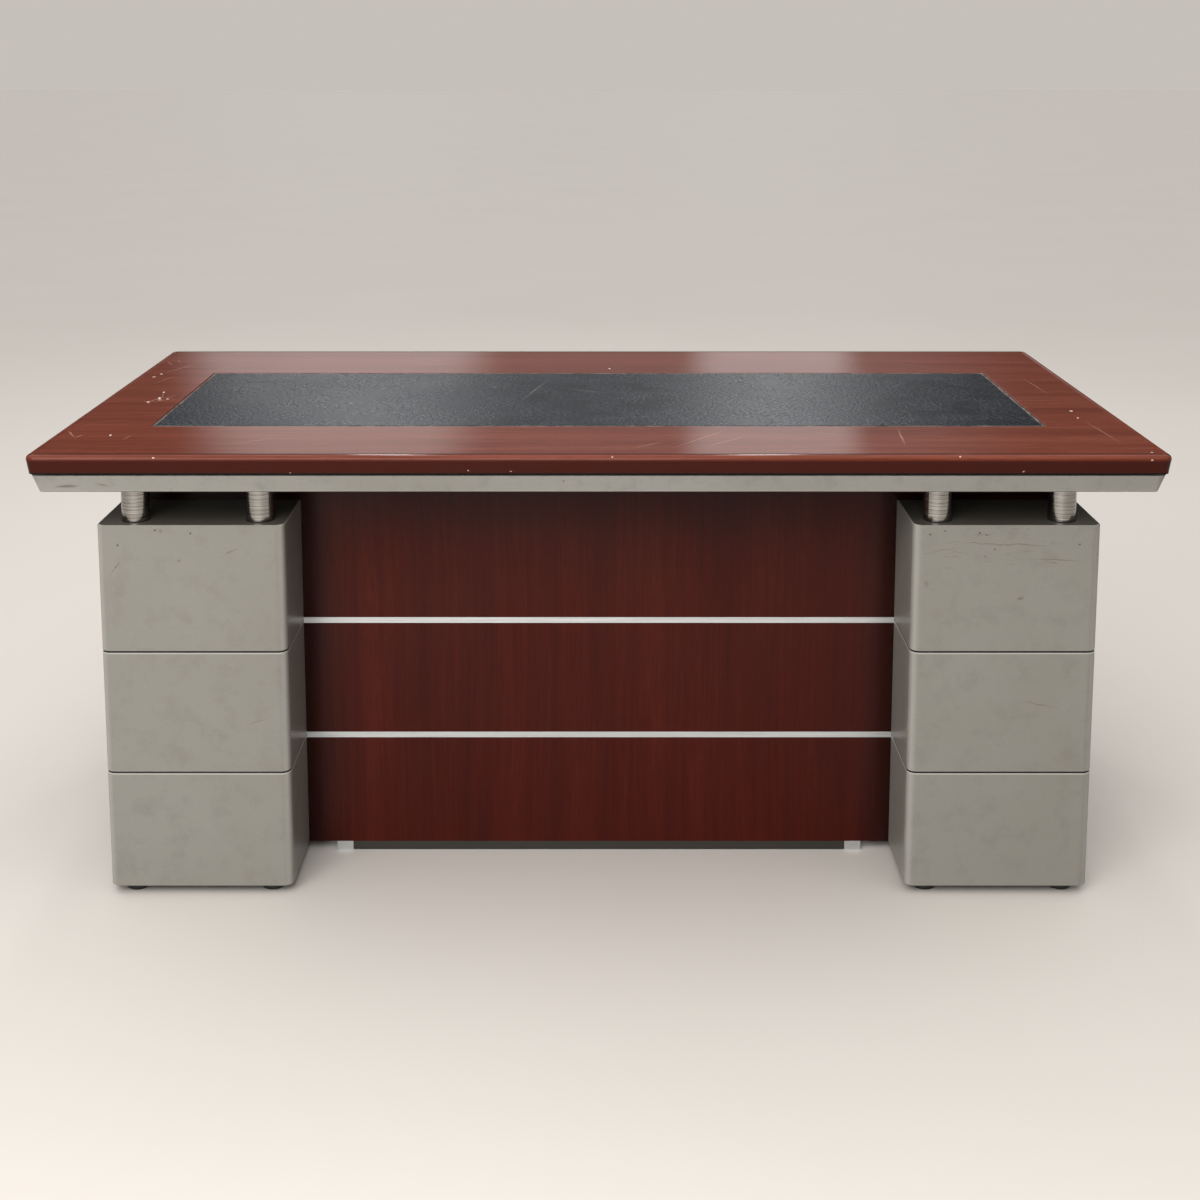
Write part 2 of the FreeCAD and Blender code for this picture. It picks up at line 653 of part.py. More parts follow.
def drawer_pedestal():
    """The left-hand pedestal with its three drawers, each on a pair of telescopic slides."""
    boards, decks = pedestal(LEFT)
    nodes = {"drawer_pedestal_sides": boards, "drawer_pedestal_decks": decks}
    front_x = mirrored(LEFT, (fronts_inner_x, fronts_outer_x))
    names = ("top", "middle", "bottom")
    free = fronts_top - fronts_bottom - FRONT_JOINT * (len(names) - 1)
    fixed_channels = []
    high = fronts_top
    for name, share in zip(names, drawer_front_shares):
        low = high - share * free
        middle_z = (low + high) / 2
        nodes["drawer_" + name + "_front"] = [box(front_x, (front_back_y, front_face_y), (low, high))]
        nodes["drawer_" + name + "_handle"] = bar_handle(-fronts_middle_x, middle_z, upright=False)
        box_z = (low + DRAWER_FOOTROOM, high - DRAWER_HEADROOM)
        nodes["drawer_" + name + "_box"] = drawer_box(*box_z)
        slide_z = sum(box_z) / 2
        middle_channels = []
        drawer_channels = []
        for face_x, inward in ((-room_inner_x, -1), (-room_outer_x, 1)):
            fixed, middle, moving = slide_channels(face_x, inward, slide_z)
            fixed_channels.append(fixed)
            middle_channels.append(middle)
            drawer_channels.append(moving)
        nodes["slide_" + name + "_middle"] = middle_channels
        nodes["slide_" + name + "_drawer"] = drawer_channels
        high = low - FRONT_JOINT
    nodes["slide_fixed"] = fixed_channels
    return nodes


def hinge_leaf(plate_y, low, own_spans):
    """One leaf of a butt hinge: a plate on its board, and the knuckles of the given heights."""
    plate_end = hinge_axis_x - KNUCKLE_RADIUS - HINGE_PLAY
    plate_x = (pedestal_outer_x - HINGE_LEAF_REACH, plate_end)
    leaf = box(plate_x, plate_y, (low, low + HINGE_HEIGHT))
    for span in own_spans:
        barrel = cylinder(KNUCKLE_RADIUS, (hinge_axis_x, hinge_axis_y, span[0]),
                          (hinge_axis_x, hinge_axis_y, span[1]))
        strap = box((plate_end, hinge_axis_x), plate_y, span)
        leaf = leaf.fuse([barrel, strap])
    bore = cylinder(HINGE_PIN_RADIUS + HINGE_PIN_CLEARANCE,
                    (hinge_axis_x, hinge_axis_y, low - CUT_OVERRUN),
                    (hinge_axis_x, hinge_axis_y, low + HINGE_HEIGHT + CUT_OVERRUN))
    return leaf.cut(bore).removeSplitter()


def hinges():
    """Two butt hinges: the leaves on the board, the leaves on the door, and the pins."""
    fixed_leaves = []
    door_leaves = []
    pins = []
    board_y = (pedestal_user_y, pedestal_user_y + hinge_leaf_thickness)
    door_y = (front_back_y - hinge_leaf_thickness, front_back_y)
    for low in (fronts_bottom + HINGE_END_SPACE, fronts_top - HINGE_END_SPACE - HINGE_HEIGHT):
        first = low + knuckle_shares[0] * HINGE_HEIGHT
        second = first + knuckle_shares[1] * HINGE_HEIGHT
        high = low + HINGE_HEIGHT
        fixed_leaves.append(hinge_leaf(board_y, low, [(low, first), (second, high)]))
        door_leaves.append(hinge_leaf(door_y, low, [(first + HINGE_PLAY, second - HINGE_PLAY)]))
        pins.append(cylinder(HINGE_PIN_RADIUS, (hinge_axis_x, hinge_axis_y, low),
                             (hinge_axis_x, hinge_axis_y, high)))
    return {"hinge_board_leaves": fixed_leaves, "hinge_door_leaves": door_leaves, "hinge_pins": pins}


def cupboard():
    """The right-hand pedestal: a hinged door, and a shelf on pins."""
    boards, decks = pedestal(RIGHT)
    holes = [shelf_pin(*place, FIT_CLEARANCE) for place in shelf_pin_places()]
    under = shelf_level()
    shelf_x = (room_inner_x + SHELF_PLAY, room_outer_x - SHELF_PLAY)
    shelf_y = (panel_back_y, pedestal_user_y - SHELF_FRONT_SETBACK)
    nodes = {
        "cupboard_sides": [board.cut(holes) for board in boards],
        "cupboard_decks": decks,
        "cupboard_shelf": [box(shelf_x, shelf_y, (under, under + SHELF_THICKNESS))],
        "shelf_pins": [shelf_pin(*place, 0) for place in shelf_pin_places()],
        "door_panel": [box((fronts_inner_x, fronts_outer_x), (front_back_y, front_face_y),
                           (fronts_bottom, fronts_top))],
        "door_handle": bar_handle(fronts_inner_x + DOOR_HANDLE_INSET, fronts_top - DOOR_HANDLE_DROP,
                                  upright=True),
    }
    nodes.update(hinges())
    return nodes


def main():
    os.makedirs("parts", exist_ok=True)
    builders = (worktop, apron, standoffs, pylons, glides, modesty_panel, drawer_pedestal, cupboard)
    for build in builders:
        for name, solids in build().items():
            shape = solids[0] if len(solids) == 1 else Part.makeCompound(solids)
            shape.exportStep("parts/" + name + ".step")


main()
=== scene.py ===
import math

import bmesh
import bpy
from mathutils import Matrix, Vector


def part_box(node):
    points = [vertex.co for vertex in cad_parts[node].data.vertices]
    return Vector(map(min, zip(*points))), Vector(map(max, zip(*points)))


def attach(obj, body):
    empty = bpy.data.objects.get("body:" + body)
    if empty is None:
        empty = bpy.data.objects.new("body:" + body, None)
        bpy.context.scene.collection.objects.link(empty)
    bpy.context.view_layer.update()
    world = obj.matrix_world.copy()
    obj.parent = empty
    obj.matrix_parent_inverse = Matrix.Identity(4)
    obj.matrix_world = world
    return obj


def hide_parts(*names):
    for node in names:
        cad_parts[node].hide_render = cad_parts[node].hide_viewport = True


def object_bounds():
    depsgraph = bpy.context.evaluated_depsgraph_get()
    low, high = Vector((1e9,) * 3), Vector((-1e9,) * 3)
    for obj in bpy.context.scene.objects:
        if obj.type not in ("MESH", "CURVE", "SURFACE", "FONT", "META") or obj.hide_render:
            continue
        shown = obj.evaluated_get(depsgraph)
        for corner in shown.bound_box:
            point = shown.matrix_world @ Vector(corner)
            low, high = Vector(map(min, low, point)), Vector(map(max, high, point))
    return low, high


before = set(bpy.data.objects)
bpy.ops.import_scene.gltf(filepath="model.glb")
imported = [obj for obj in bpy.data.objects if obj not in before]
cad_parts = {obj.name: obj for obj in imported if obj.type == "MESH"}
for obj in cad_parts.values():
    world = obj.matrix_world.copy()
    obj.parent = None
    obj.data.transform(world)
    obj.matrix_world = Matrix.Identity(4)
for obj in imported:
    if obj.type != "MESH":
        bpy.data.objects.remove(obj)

CAD_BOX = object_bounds()

bl_info = {
    "name": "Executive Desk",
    "version": (1, 0, 0),
    "blender": (4, 5, 0),
    "location": "View3D > Sidebar > Desk",
    "description": "Dresses the packed model of an executive desk and lights it",
    "category": "Object",
}

# A millimetre in metres, and a metre in millimetres.
MM, METRE = 0.001, 1000.0
X_AXIS, Y_AXIS, Z_AXIS = 0, 1, 2
STANDOFFS = ("left_outer", "left_inner", "right_inner", "right_outer")
DRAWERS = ("top", "middle", "bottom")
PYLON_BANDS = ("base", "lower", "middle", "upper", "top")
SIDES = ("left", "right")

# Turned pieces and bar handles, in mm. An outline is a row of (radius, height) points.
STUD_RADIUS, RINGS, RING_DEPTH, RING_WIDTH = 5.0, 9, 0.05, 0.4
GLIDE_OUTLINE = ((0, 0), (16.5, 0), (19, 0.9), (20, 3), (20, 6.5), (18.6, 8.2), (13, 9.4), (12, 10.5),
                 (12, 14), (0, 14))
GLIDE_PLACES = ((545, -381), (772, -381), (511, 376), (762, 376))
POST_OUTLINE = ((0, 0), (6, 0), (6, 1), (4.6, 2.4), (4, 4.4), (4, 21))
POST_REACH, BAR_DEPTH = 64, 10
STANDOFF_STEPS, POST_STEPS, GLIDE_STEPS = 72, 32, 40
LEATHER_SEGMENTS, BOARD_SEGMENTS, BAR_SEGMENTS = 4, 3, 5

# Angles in degrees past which an edge of a rounded piece and of a ring stays sharp.
SHARP_EDGE, SHARP_RING = 40.0, 8.0

BACKDROP = "#C6C0BA"
FLOOR_HALF_WIDTH = 60.0
SENSOR_WIDTH, CAMERA_SHIFT = 36.0, -0.25

# Marks on the surfaces: centre in mm, half length and half width in mm, and the turn in degrees.
# On the worktop x runs to the right and y to the back, on an upright face x to the right and z up.
TOP_CHIPS = (
    (-863, 181, 5, 4, 20), (-857, 211, 4, 4, 60), (-812, -58, 4, 6, 0), (-800, -24, 3, 9, 10),
    (-796, -40, 6, 3, 0), (-806, 30, 2.5, 6, 0), (-784, -33, 3, 5, 0), (830, -138, 5, 5, 0),
    (826, -196, 2.5, 5, 0), (-804, -330, 2.5, 6, 0), (872, -452, 3, 3, 0), (20, 270, 2, 8, 25),
)
NOSE_CHIPS = (
    (-697, 757, 2.6, 1.7, 0), (-205, 735, 1.8, 1.3, 0), (-137, 734, 2.4, 1.2, 20), (20, 758, 1.8, 1.2, 0),
    (565, 757, 1.8, 1.2, 0), (666, 734, 2.8, 1.5, 30), (866, 753, 2.4, 1.8, 40), (-484, 731, 1.8, 1.2, 0),
)
TOP_SCRATCHES = (
    (-832, 278, 84, 1.6, 69.5), (-868, 326, 32, 1.4, -63), (-857, 354, 26, 1.2, -67),
    (-871, -321, 34, 2.2, -63), (-853, -336, 16, 2.0, 68), (-772, -347, 20, 1.8, 80),
    (824, 88, 104, 1.5, -87), (836, -302, 106, 1.6, -86), (165, -356, 99, 1.7, 54),
    (206, -375, 65, 1.6, 46), (79, -401, 43, 1.8, 40), (496, -341, 75, 2.2, 86),
    (-806, -40, 40, 1.6, 80), (-796, -22, 46, 1.5, 60), (-790, -46, 34, 1.5, 30),
    (-802, 6, 44, 1.4, 100), (-812, -64, 26, 1.6, 120), (-782, -18, 30, 1.3, 70),
    (-836, 150, 60, 1.0, 75), (-760, 250, 70, 1.0, 60), (-560, -372, 46, 1.2, 30),
    (-330, 318, 70, 1.2, 12), (640, 300, 54, 1.2, -30), (380, -318, 40, 1.0, -20),
)
LEATHER_SCRATCHES = (
    (-120, 47, 138, 2.0, 78), (-20, 42, 60, 2.2, -29), (-196, 80, 6, 8, 0), (330, -120, 90, 1.4, 24),
    (-480, 30, 70, 1.4, -38), (560, 90, 60, 1.4, 62), (60, -190, 110, 1.2, 8), (-330, -150, 40, 1.4, 55),
)
FRONT_SCUFFS = (
    (650, 600, 118, 1.1, -2), (735, 574, 66, 1.2, -3), (560, 590, 34, 1.1, 4),
    (683, 510, 8, 4, 40), (-678, 573, 6, 4, 0), (-706, 622, 3, 5, 0), (-594, 586, 22, 2, 30),
    (-780, 560, 20, 1.8, 55), (-836, 707, 26, 4, 4), (-780, 709, 14, 3, -10), (-55, 717, 3, 3, 0),
    (529, 533, 5, 7, 10), (-560, 300, 30, 1.0, 20), (720, 330, 44, 1.0, -12),
)
FRONT_PITS = (
    (533, 615, 2.6, 2.2, 0), (557, 623, 2.2, 2.0, 0), (613, 618, 3.0, 2.0, 20), (775, 598, 2.6, 2.2, 0),
    (805, 582, 2.0, 3.0, 0), (-714, 623, 2.4, 2.0, 0), (-658, 618, 2.2, 2.0, 0), (-774, 598, 2.0, 2.4, 0),
)
RUBBED_ZONES = ((670, 590, 200, 36, 0), (640, 612, 130, 20, 0), (545, 560, 40, 60, 0))
FRONT_CHIPS = ((-811, 449, 3.2, 27, 0), (-811, 128, 2.4, 9, 0), (811, 236, 2.4, 8, 0))


def linear(code):
    """The linear colour of an sRGB hex value."""
    parts = [int(code[i:i + 2], 16) / 255 for i in (1, 3, 5)]
    return tuple(p / 12.92 if p <= 0.04045 else ((p + 0.055) / 1.055) ** 2.4 for p in parts)


def paint(colour):
    """A colour for a node, from an sRGB hex value or from linear parts."""
    return (linear(colour) if isinstance(colour, str) else tuple(colour)) + (1.0,)


def per(*sizes):
    """The Mapping scale of a pattern whose features have these sizes in mm."""
    return tuple(METRE / size for size in sizes)


def along(axis, length, width):
    """The Mapping scale of a grain that runs along one axis."""
    sizes = [width] * 3
    sizes[axis] = length
    return per(*sizes)


class DeskSizes(bpy.types.PropertyGroup):
    leather_edge: bpy.props.FloatProperty(
        name="Leather Edge", description="Radius of the turned edge of the writing leather",
        default=0.9 * MM, unit="LENGTH")
    board_edge: bpy.props.FloatProperty(
        name="Board Edge", description="Radius of the eased edges of the drawer fronts and the door",
        default=1.5 * MM, unit="LENGTH")
    handle_edge: bpy.props.FloatProperty(
        name="Handle Edge", description="Radius along the edges of the bar handles",
        default=3.0 * MM, unit="LENGTH")


class DeskFinish(bpy.types.PropertyGroup):
    wood_dark: bpy.props.FloatVectorProperty(
        name="Mahogany Dark", description="Dark streaks of the worktop", subtype="COLOR",
        default=linear("#683021"))
    wood_mid: bpy.props.FloatVectorProperty(
        name="Mahogany", description="Middle tone of the worktop", subtype="COLOR",
        default=linear("#773B2B"))
    wood_light: bpy.props.FloatVectorProperty(
        name="Mahogany Light", description="Light streaks of the worktop", subtype="COLOR",
        default=linear("#824433"))
    edge_stain: bpy.props.FloatVectorProperty(
        name="Edge Stain", description="Dark stain on the edge of the worktop", subtype="COLOR",
        default=linear("#461107"))
    panel_dark: bpy.props.FloatVectorProperty(
        name="Panel Dark", description="Dark streaks of the modesty panel", subtype="COLOR",
        default=linear("#3F0F08"))
    panel_mid: bpy.props.FloatVectorProperty(
        name="Panel", description="Middle tone of the modesty panel", subtype="COLOR",
        default=linear("#49130A"))
    panel_light: bpy.props.FloatVectorProperty(
        name="Panel Light", description="Light streaks of the modesty panel", subtype="COLOR",
        default=linear("#52190E"))
    lacquer: bpy.props.FloatVectorProperty(
        name="Grey Lacquer", description="Colour of the pylons", subtype="COLOR",
        default=linear("#9E9A91"))
    apron: bpy.props.FloatVectorProperty(
        name="Apron", description="Colour of the apron under the worktop", subtype="COLOR",
        default=linear("#B8B4AB"))
    leather: bpy.props.FloatVectorProperty(
        name="Leather", description="Colour of the writing leather", subtype="COLOR",
        default=linear("#11161D"))


class DeskStage(bpy.types.PropertyGroup):
    focal_length: bpy.props.FloatProperty(
        name="Focal Length", description="Focal length of the camera in mm", default=51.47)
    camera_place: bpy.props.FloatVectorProperty(
        name="Camera", description="Where the camera stands", subtype="TRANSLATION",
        default=(0.002, -3.0928, 1.3844))
    camera_pitch: bpy.props.FloatProperty(
        name="Pitch", description="How far the camera looks down", default=math.radians(8.23),
        subtype="ANGLE")
    key_power: bpy.props.FloatProperty(
        name="Key Light", description="Power of the large soft light at the front left", default=118.0,
        unit="POWER")
    floor: bpy.props.FloatVectorProperty(
        name="Floor", description="Colour of the floor", subtype="COLOR", default=linear("#DAD3CB"))


# The inputs of Map Range are 0 the value, 1 and 2 the range it comes in, 3 and 4 the range it goes out in,
# 0 to 1 where they aren't given. Mix takes its share at 0, two numbers at 2 and 3, two colours at 6 and 7.
def add(tree, kind, links=None, stops=(), **settings):
    """Add a node with its settings, set or link its inputs, and give a colour ramp its stops."""
    node = tree.nodes.new(kind)
    for key, value in settings.items():
        setattr(node, key, value)
    for socket, value in (links or {}).items():
        if isinstance(value, bpy.types.NodeSocket):
            tree.links.new(value, node.inputs[socket])
        else:
            node.inputs[socket].default_value = value
    for index, (position, colour) in enumerate(stops):
        if index > 1:
            node.color_ramp.elements.new(1.0)
        node.color_ramp.elements[index].position = position
        node.color_ramp.elements[index].color = paint(colour)
    return node


def blank_material(name, **constants):
    """A new material with its shader, and the Object coordinates that its patterns read."""
    material = bpy.data.materials.new(name)
    material.use_nodes = True
    tree = material.node_tree
    tree.nodes.clear()
    shader = add(tree, "ShaderNodeBsdfPrincipled", constants)
    add(tree, "ShaderNodeOutputMaterial", {"Surface": shader.outputs["BSDF"]})
    place = add(tree, "ShaderNodeTexCoord").outputs["Object"]
    return material, tree, shader, place


def dress(material, *nodes):
    """Give CAD nodes a material."""
    for node in nodes:
        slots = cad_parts[node].data.materials
        slots.clear()
        slots.append(material)


def marks(tree, place, rows, upright=False):
    """A mask of long thin marks, each brightest along its middle."""
    through = 1000.0
    total = 0.0
    for first, second, half_length, half_width, turn in rows:
        if upright:
            centre = (first * MM, 0, second * MM)
            angle = (0, -math.radians(turn), 0)
            size = (half_length * MM, through, half_width * MM)
        else:
            centre = (first * MM, second * MM, 0)
            angle = (0, 0, math.radians(turn))
            size = (half_length * MM, half_width * MM, through)
        local = add(tree, "ShaderNodeMapping", {"Vector": place, "Location": centre, "Rotation": angle,
                                                "Scale": size}, vector_type="TEXTURE")
        spot = add(tree, "ShaderNodeTexGradient", {"Vector": local.outputs[0]}, gradient_type="SPHERICAL")
        total = add(tree, "ShaderNodeMath", {0: spot.outputs["Fac"], 1: total}, operation="MAXIMUM")
        total = total.outputs[0]
    return total


def wobbled(tree, place, size, amount):
    """The place, pushed about a little, so that a mark isn't drawn with a ruler."""
    drift = add(tree, "ShaderNodeTexNoise", {"Vector": place, "Scale": METRE / size, "Detail": 2.0})
    centred = add(tree, "ShaderNodeVectorMath", {0: drift.outputs["Color"], 1: (0.5, 0.5, 0.5)},
                  operation="SUBTRACT")
    return add(tree, "ShaderNodeVectorMath", {0: centred.outputs[0], 1: (amount * MM * 2,) * 3, 2: place},
               operation="MULTIPLY_ADD").outputs[0]


def grain(tree, place, scale, detail=3.0, roughness=0.5, turn=0.0, seed=0.0):
    """A noise stretched to fibres, streaks or hair lines, which may be turned in the plane of the worktop."""
    local = add(tree, "ShaderNodeMapping", {"Vector": place, "Location": (seed, seed, 0.0),
                                            "Rotation": (0, 0, math.radians(turn)), "Scale": scale})
    return add(tree, "ShaderNodeTexNoise", {"Vector": local.outputs[0], "Scale": 1.0, "Detail": detail,
                                            "Roughness": roughness}).outputs["Fac"]


def coats(tree, colour, *layers):
    """Lay colours over a first one, each through its own mask."""
    for mask, over in layers:
        colour = add(tree, "ShaderNodeMix", {0: mask, 6: colour, 7: paint(over)}, data_type="RGBA").outputs[2]
    return colour


def surface(tree, shader, colour, roughness, height, strength, depth, invert=False):
    """Link a colour, a roughness, and a bump with a depth in mm to a shader."""
    bump = add(tree, "ShaderNodeBump", {"Strength": strength, "Distance": depth * MM, "Height": height},
               invert=invert)
    for socket, value in (("Base Color", colour), ("Roughness", roughness), ("Normal", bump.outputs[0])):
        tree.links.new(value, shader.inputs[socket])


def mahogany(name, colours, axis, **constants):
    """Wood figure and pores under a lacquer, with the grain along one axis."""
    material, tree, shader, place = blank_material(name, **constants)
    drift = wobbled(tree, place, 320, 9)
    broad = grain(tree, drift, along(axis, 900, 46))
    streak = grain(tree, drift, along(axis, 240, 7), 5.0, 0.62)
    pores = grain(tree, drift, along(axis, 36, 1.6), 2.0)
    figure = add(tree, "ShaderNodeMix", {0: 0.5, 2: broad, 3: streak}).outputs[0]
    wood = add(tree, "ShaderNodeValToRGB", {0: figure}, zip((0.36, 0.5, 0.63), colours)).outputs[0]
    pore = add(tree, "ShaderNodeMapRange", {0: pores, 1: 0.36, 2: 0.47, 3: 0.55, 4: 0.0}).outputs[0]
    return material, tree, shader, place, coats(tree, wood, (pore, colours[0]))


def lacquered_top(finish):
    # Mahogany veneer under a polished lacquer: red brown streaks along the desk, a mirror-like gloss that
    # waves a little, pale chips where the lacquer has come off and thin light scratches. The fine pores and
    # the hair lines from years of wiping are drawn a few times coarser than they are, so that they show.
    material, tree, shader, place, wood = mahogany(
        "Lacquered_Mahogany", (finish.wood_dark, finish.wood_mid, finish.wood_light), X_AXIS, IOR=1.24)
    split = add(tree, "ShaderNodeSeparateXYZ", {0: place})
    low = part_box("lipping_front")[0].z
    stain_start, stain_end = low + 20 * MM, low + 27 * MM
    flat_start, flat_end = low + 28 * MM, low + 30.5 * MM
    groove_middle, groove_shade_half = CAD_BOX[1].y - 11 * MM, 3.0 * MM
    foot_shadow_height, nose_back = 2.4 * MM, CAD_BOX[0].y + 12 * MM
    height = split.outputs["Z"]
    edge = add(tree, "ShaderNodeMapRange", {0: height, 1: stain_start, 2: stain_end, 3: 1.0, 4: 0.0},
               interpolation_type="SMOOTHSTEP")
    flat = add(tree, "ShaderNodeMapRange", {0: height, 1: flat_start, 2: flat_end})
    # Painted shade in the groove behind the nose, a line a little wider than the groove itself, and a painted
    # shadow along the foot of the edge, where it meets the apron.
    aside = add(tree, "ShaderNodeMath", {0: split.outputs["Y"]}, operation="ABSOLUTE")
    groove_shade = add(tree, "ShaderNodeMath", {0: aside.outputs[0], 1: groove_middle, 2: groove_shade_half},
                 operation="COMPARE")
    foot = add(tree, "ShaderNodeMath", {0: height, 1: low, 2: foot_shadow_height}, operation="COMPARE")
    layers = [(edge.outputs[0], finish.edge_stain), (groove_shade.outputs[0], "#260B06"),
              (foot.outputs[0], "#150604")]
    worn = wobbled(tree, place, 14, 3.0)
    for turn, seed in ((24, 0.0), (-38, 3.0), (71, 7.0)):
        hairs = grain(tree, worn, per(150, 2.2, 60), 1.0, turn=turn, seed=seed)
        line = add(tree, "ShaderNodeMapRange", {0: hairs, 1: 0.70, 2: 0.76, 4: 0.2})
        line = add(tree, "ShaderNodeMath", {0: flat.outputs[0], 1: line.outputs[0]}, operation="MULTIPLY")
        layers.append((line.outputs[0], "#B98A78"))
    scratch = add(tree, "ShaderNodeMapRange", {0: marks(tree, worn, TOP_SCRATCHES), 1: 0.1, 2: 0.8, 4: 0.55})
    scratch = add(tree, "ShaderNodeMath", {0: scratch.outputs[0], 1: flat.outputs[0]}, operation="MULTIPLY")
    front = add(tree, "ShaderNodeMath", {0: split.outputs["Y"], 1: nose_back}, operation="LESS_THAN")
    nose = add(tree, "ShaderNodeMapRange", {0: marks(tree, worn, NOSE_CHIPS, upright=True), 1: 0.25, 2: 0.45})
    nose = add(tree, "ShaderNodeMath", {0: nose.outputs[0], 1: front.outputs[0]}, operation="MULTIPLY")
    chip = add(tree, "ShaderNodeMapRange", {0: marks(tree, worn, TOP_CHIPS), 1: 0.25, 2: 0.45})
    layers += [(scratch.outputs[0], "#C39A8A"), (nose.outputs[0], "#D9BFAF"), (chip.outputs[0], "#EFE3DA")]
    dust = add(tree, "ShaderNodeTexNoise", {"Vector": place, "Scale": METRE / 160, "Detail": 6.0})
    gloss = add(tree, "ShaderNodeMapRange", {0: dust.outputs["Fac"], 1: 0.3, 2: 0.7, 3: 0.06, 4: 0.13})
    gloss = add(tree, "ShaderNodeMix", {0: chip.outputs[0], 2: gloss.outputs[0], 3: 0.58})
    peel = add(tree, "ShaderNodeTexNoise", {"Vector": place, "Scale": METRE / 14, "Detail": 1.0})
    surface(tree, shader, coats(tree, wood, *layers), gloss.outputs[0], peel.outputs["Fac"], 0.12, 0.15)
    return material


def lacquered_panel(finish):
    # The same veneer stained darker, with its grain upright: glossy, with fine pale specks low down. Towards
    # the pylons, behind them and under the top, the modesty panel carries painted shade.
    material, tree, shader, place, wood = mahogany(
        "Dark_Mahogany", (finish.panel_dark, finish.panel_mid, finish.panel_light), Z_AXIS, IOR=1.24)
    specks = add(tree, "ShaderNodeTexVoronoi", {"Vector": place, "Scale": METRE / 26})
    split = add(tree, "ShaderNodeSeparateXYZ", {0: place})
    specks_low, specks_high = 20 * MM, 220 * MM
    beside_start, beside_end = 420 * MM, 520 * MM
    under_start, under_end = 560 * MM, 700 * MM
    panel_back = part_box("modesty_panel")[1].y - 1 * MM
    height = split.outputs["Z"]
    low = add(tree, "ShaderNodeMapRange", {0: height, 1: specks_low, 2: specks_high, 3: 0.55, 4: 0.0})
    # Painted shade beside and behind the pylons, and along the top of the panel under the worktop.
    aside = add(tree, "ShaderNodeMath", {0: split.outputs["X"]}, operation="ABSOLUTE")
    beside_pylon_shade = add(tree, "ShaderNodeMapRange", {0: aside.outputs[0], 1: beside_start, 2: beside_end},
                 interpolation_type="SMOOTHSTEP")
    under = add(tree, "ShaderNodeMapRange", {0: height, 1: under_start, 2: under_end, 4: 0.55})
    panel = add(tree, "ShaderNodeMath", {0: split.outputs["Y"], 1: panel_back}, operation="LESS_THAN")
    painted_shade = add(tree, "ShaderNodeMath", {0: beside_pylon_shade.outputs[0], 1: under.outputs[0]}, operation="MAXIMUM")
    painted_shade = add(tree, "ShaderNodeMath", {0: painted_shade.outputs[0], 1: panel.outputs[0]}, operation="MULTIPLY")
    dots = add(tree, "ShaderNodeMapRange", {0: specks.outputs["Distance"], 1: 0.05, 2: 0.09,
                                            3: low.outputs[0], 4: 0.0})
    chosen = add(tree, "ShaderNodeMath", {0: specks.outputs["Color"], 1: 0.62}, operation="GREATER_THAN")
    dots = add(tree, "ShaderNodeMath", {0: dots.outputs[0], 1: chosen.outputs[0]}, operation="MULTIPLY")
    dust = add(tree, "ShaderNodeTexNoise", {"Vector": place, "Scale": METRE / 210, "Detail": 6.0})
    gloss = add(tree, "ShaderNodeMapRange", {0: dust.outputs["Fac"], 1: 0.3, 2: 0.7, 3: 0.14, 4: 0.26})
    peel = add(tree, "ShaderNodeTexNoise", {"Vector": place, "Scale": METRE / 18, "Detail": 1.0})
    colour = coats(tree, wood, (dots.outputs[0], "#A08A80"), (painted_shade.outputs[0], "#210A06"))
    surface(tree, shader, colour, gloss.outputs[0], peel.outputs["Fac"], 0.12, 0.2)
    return material


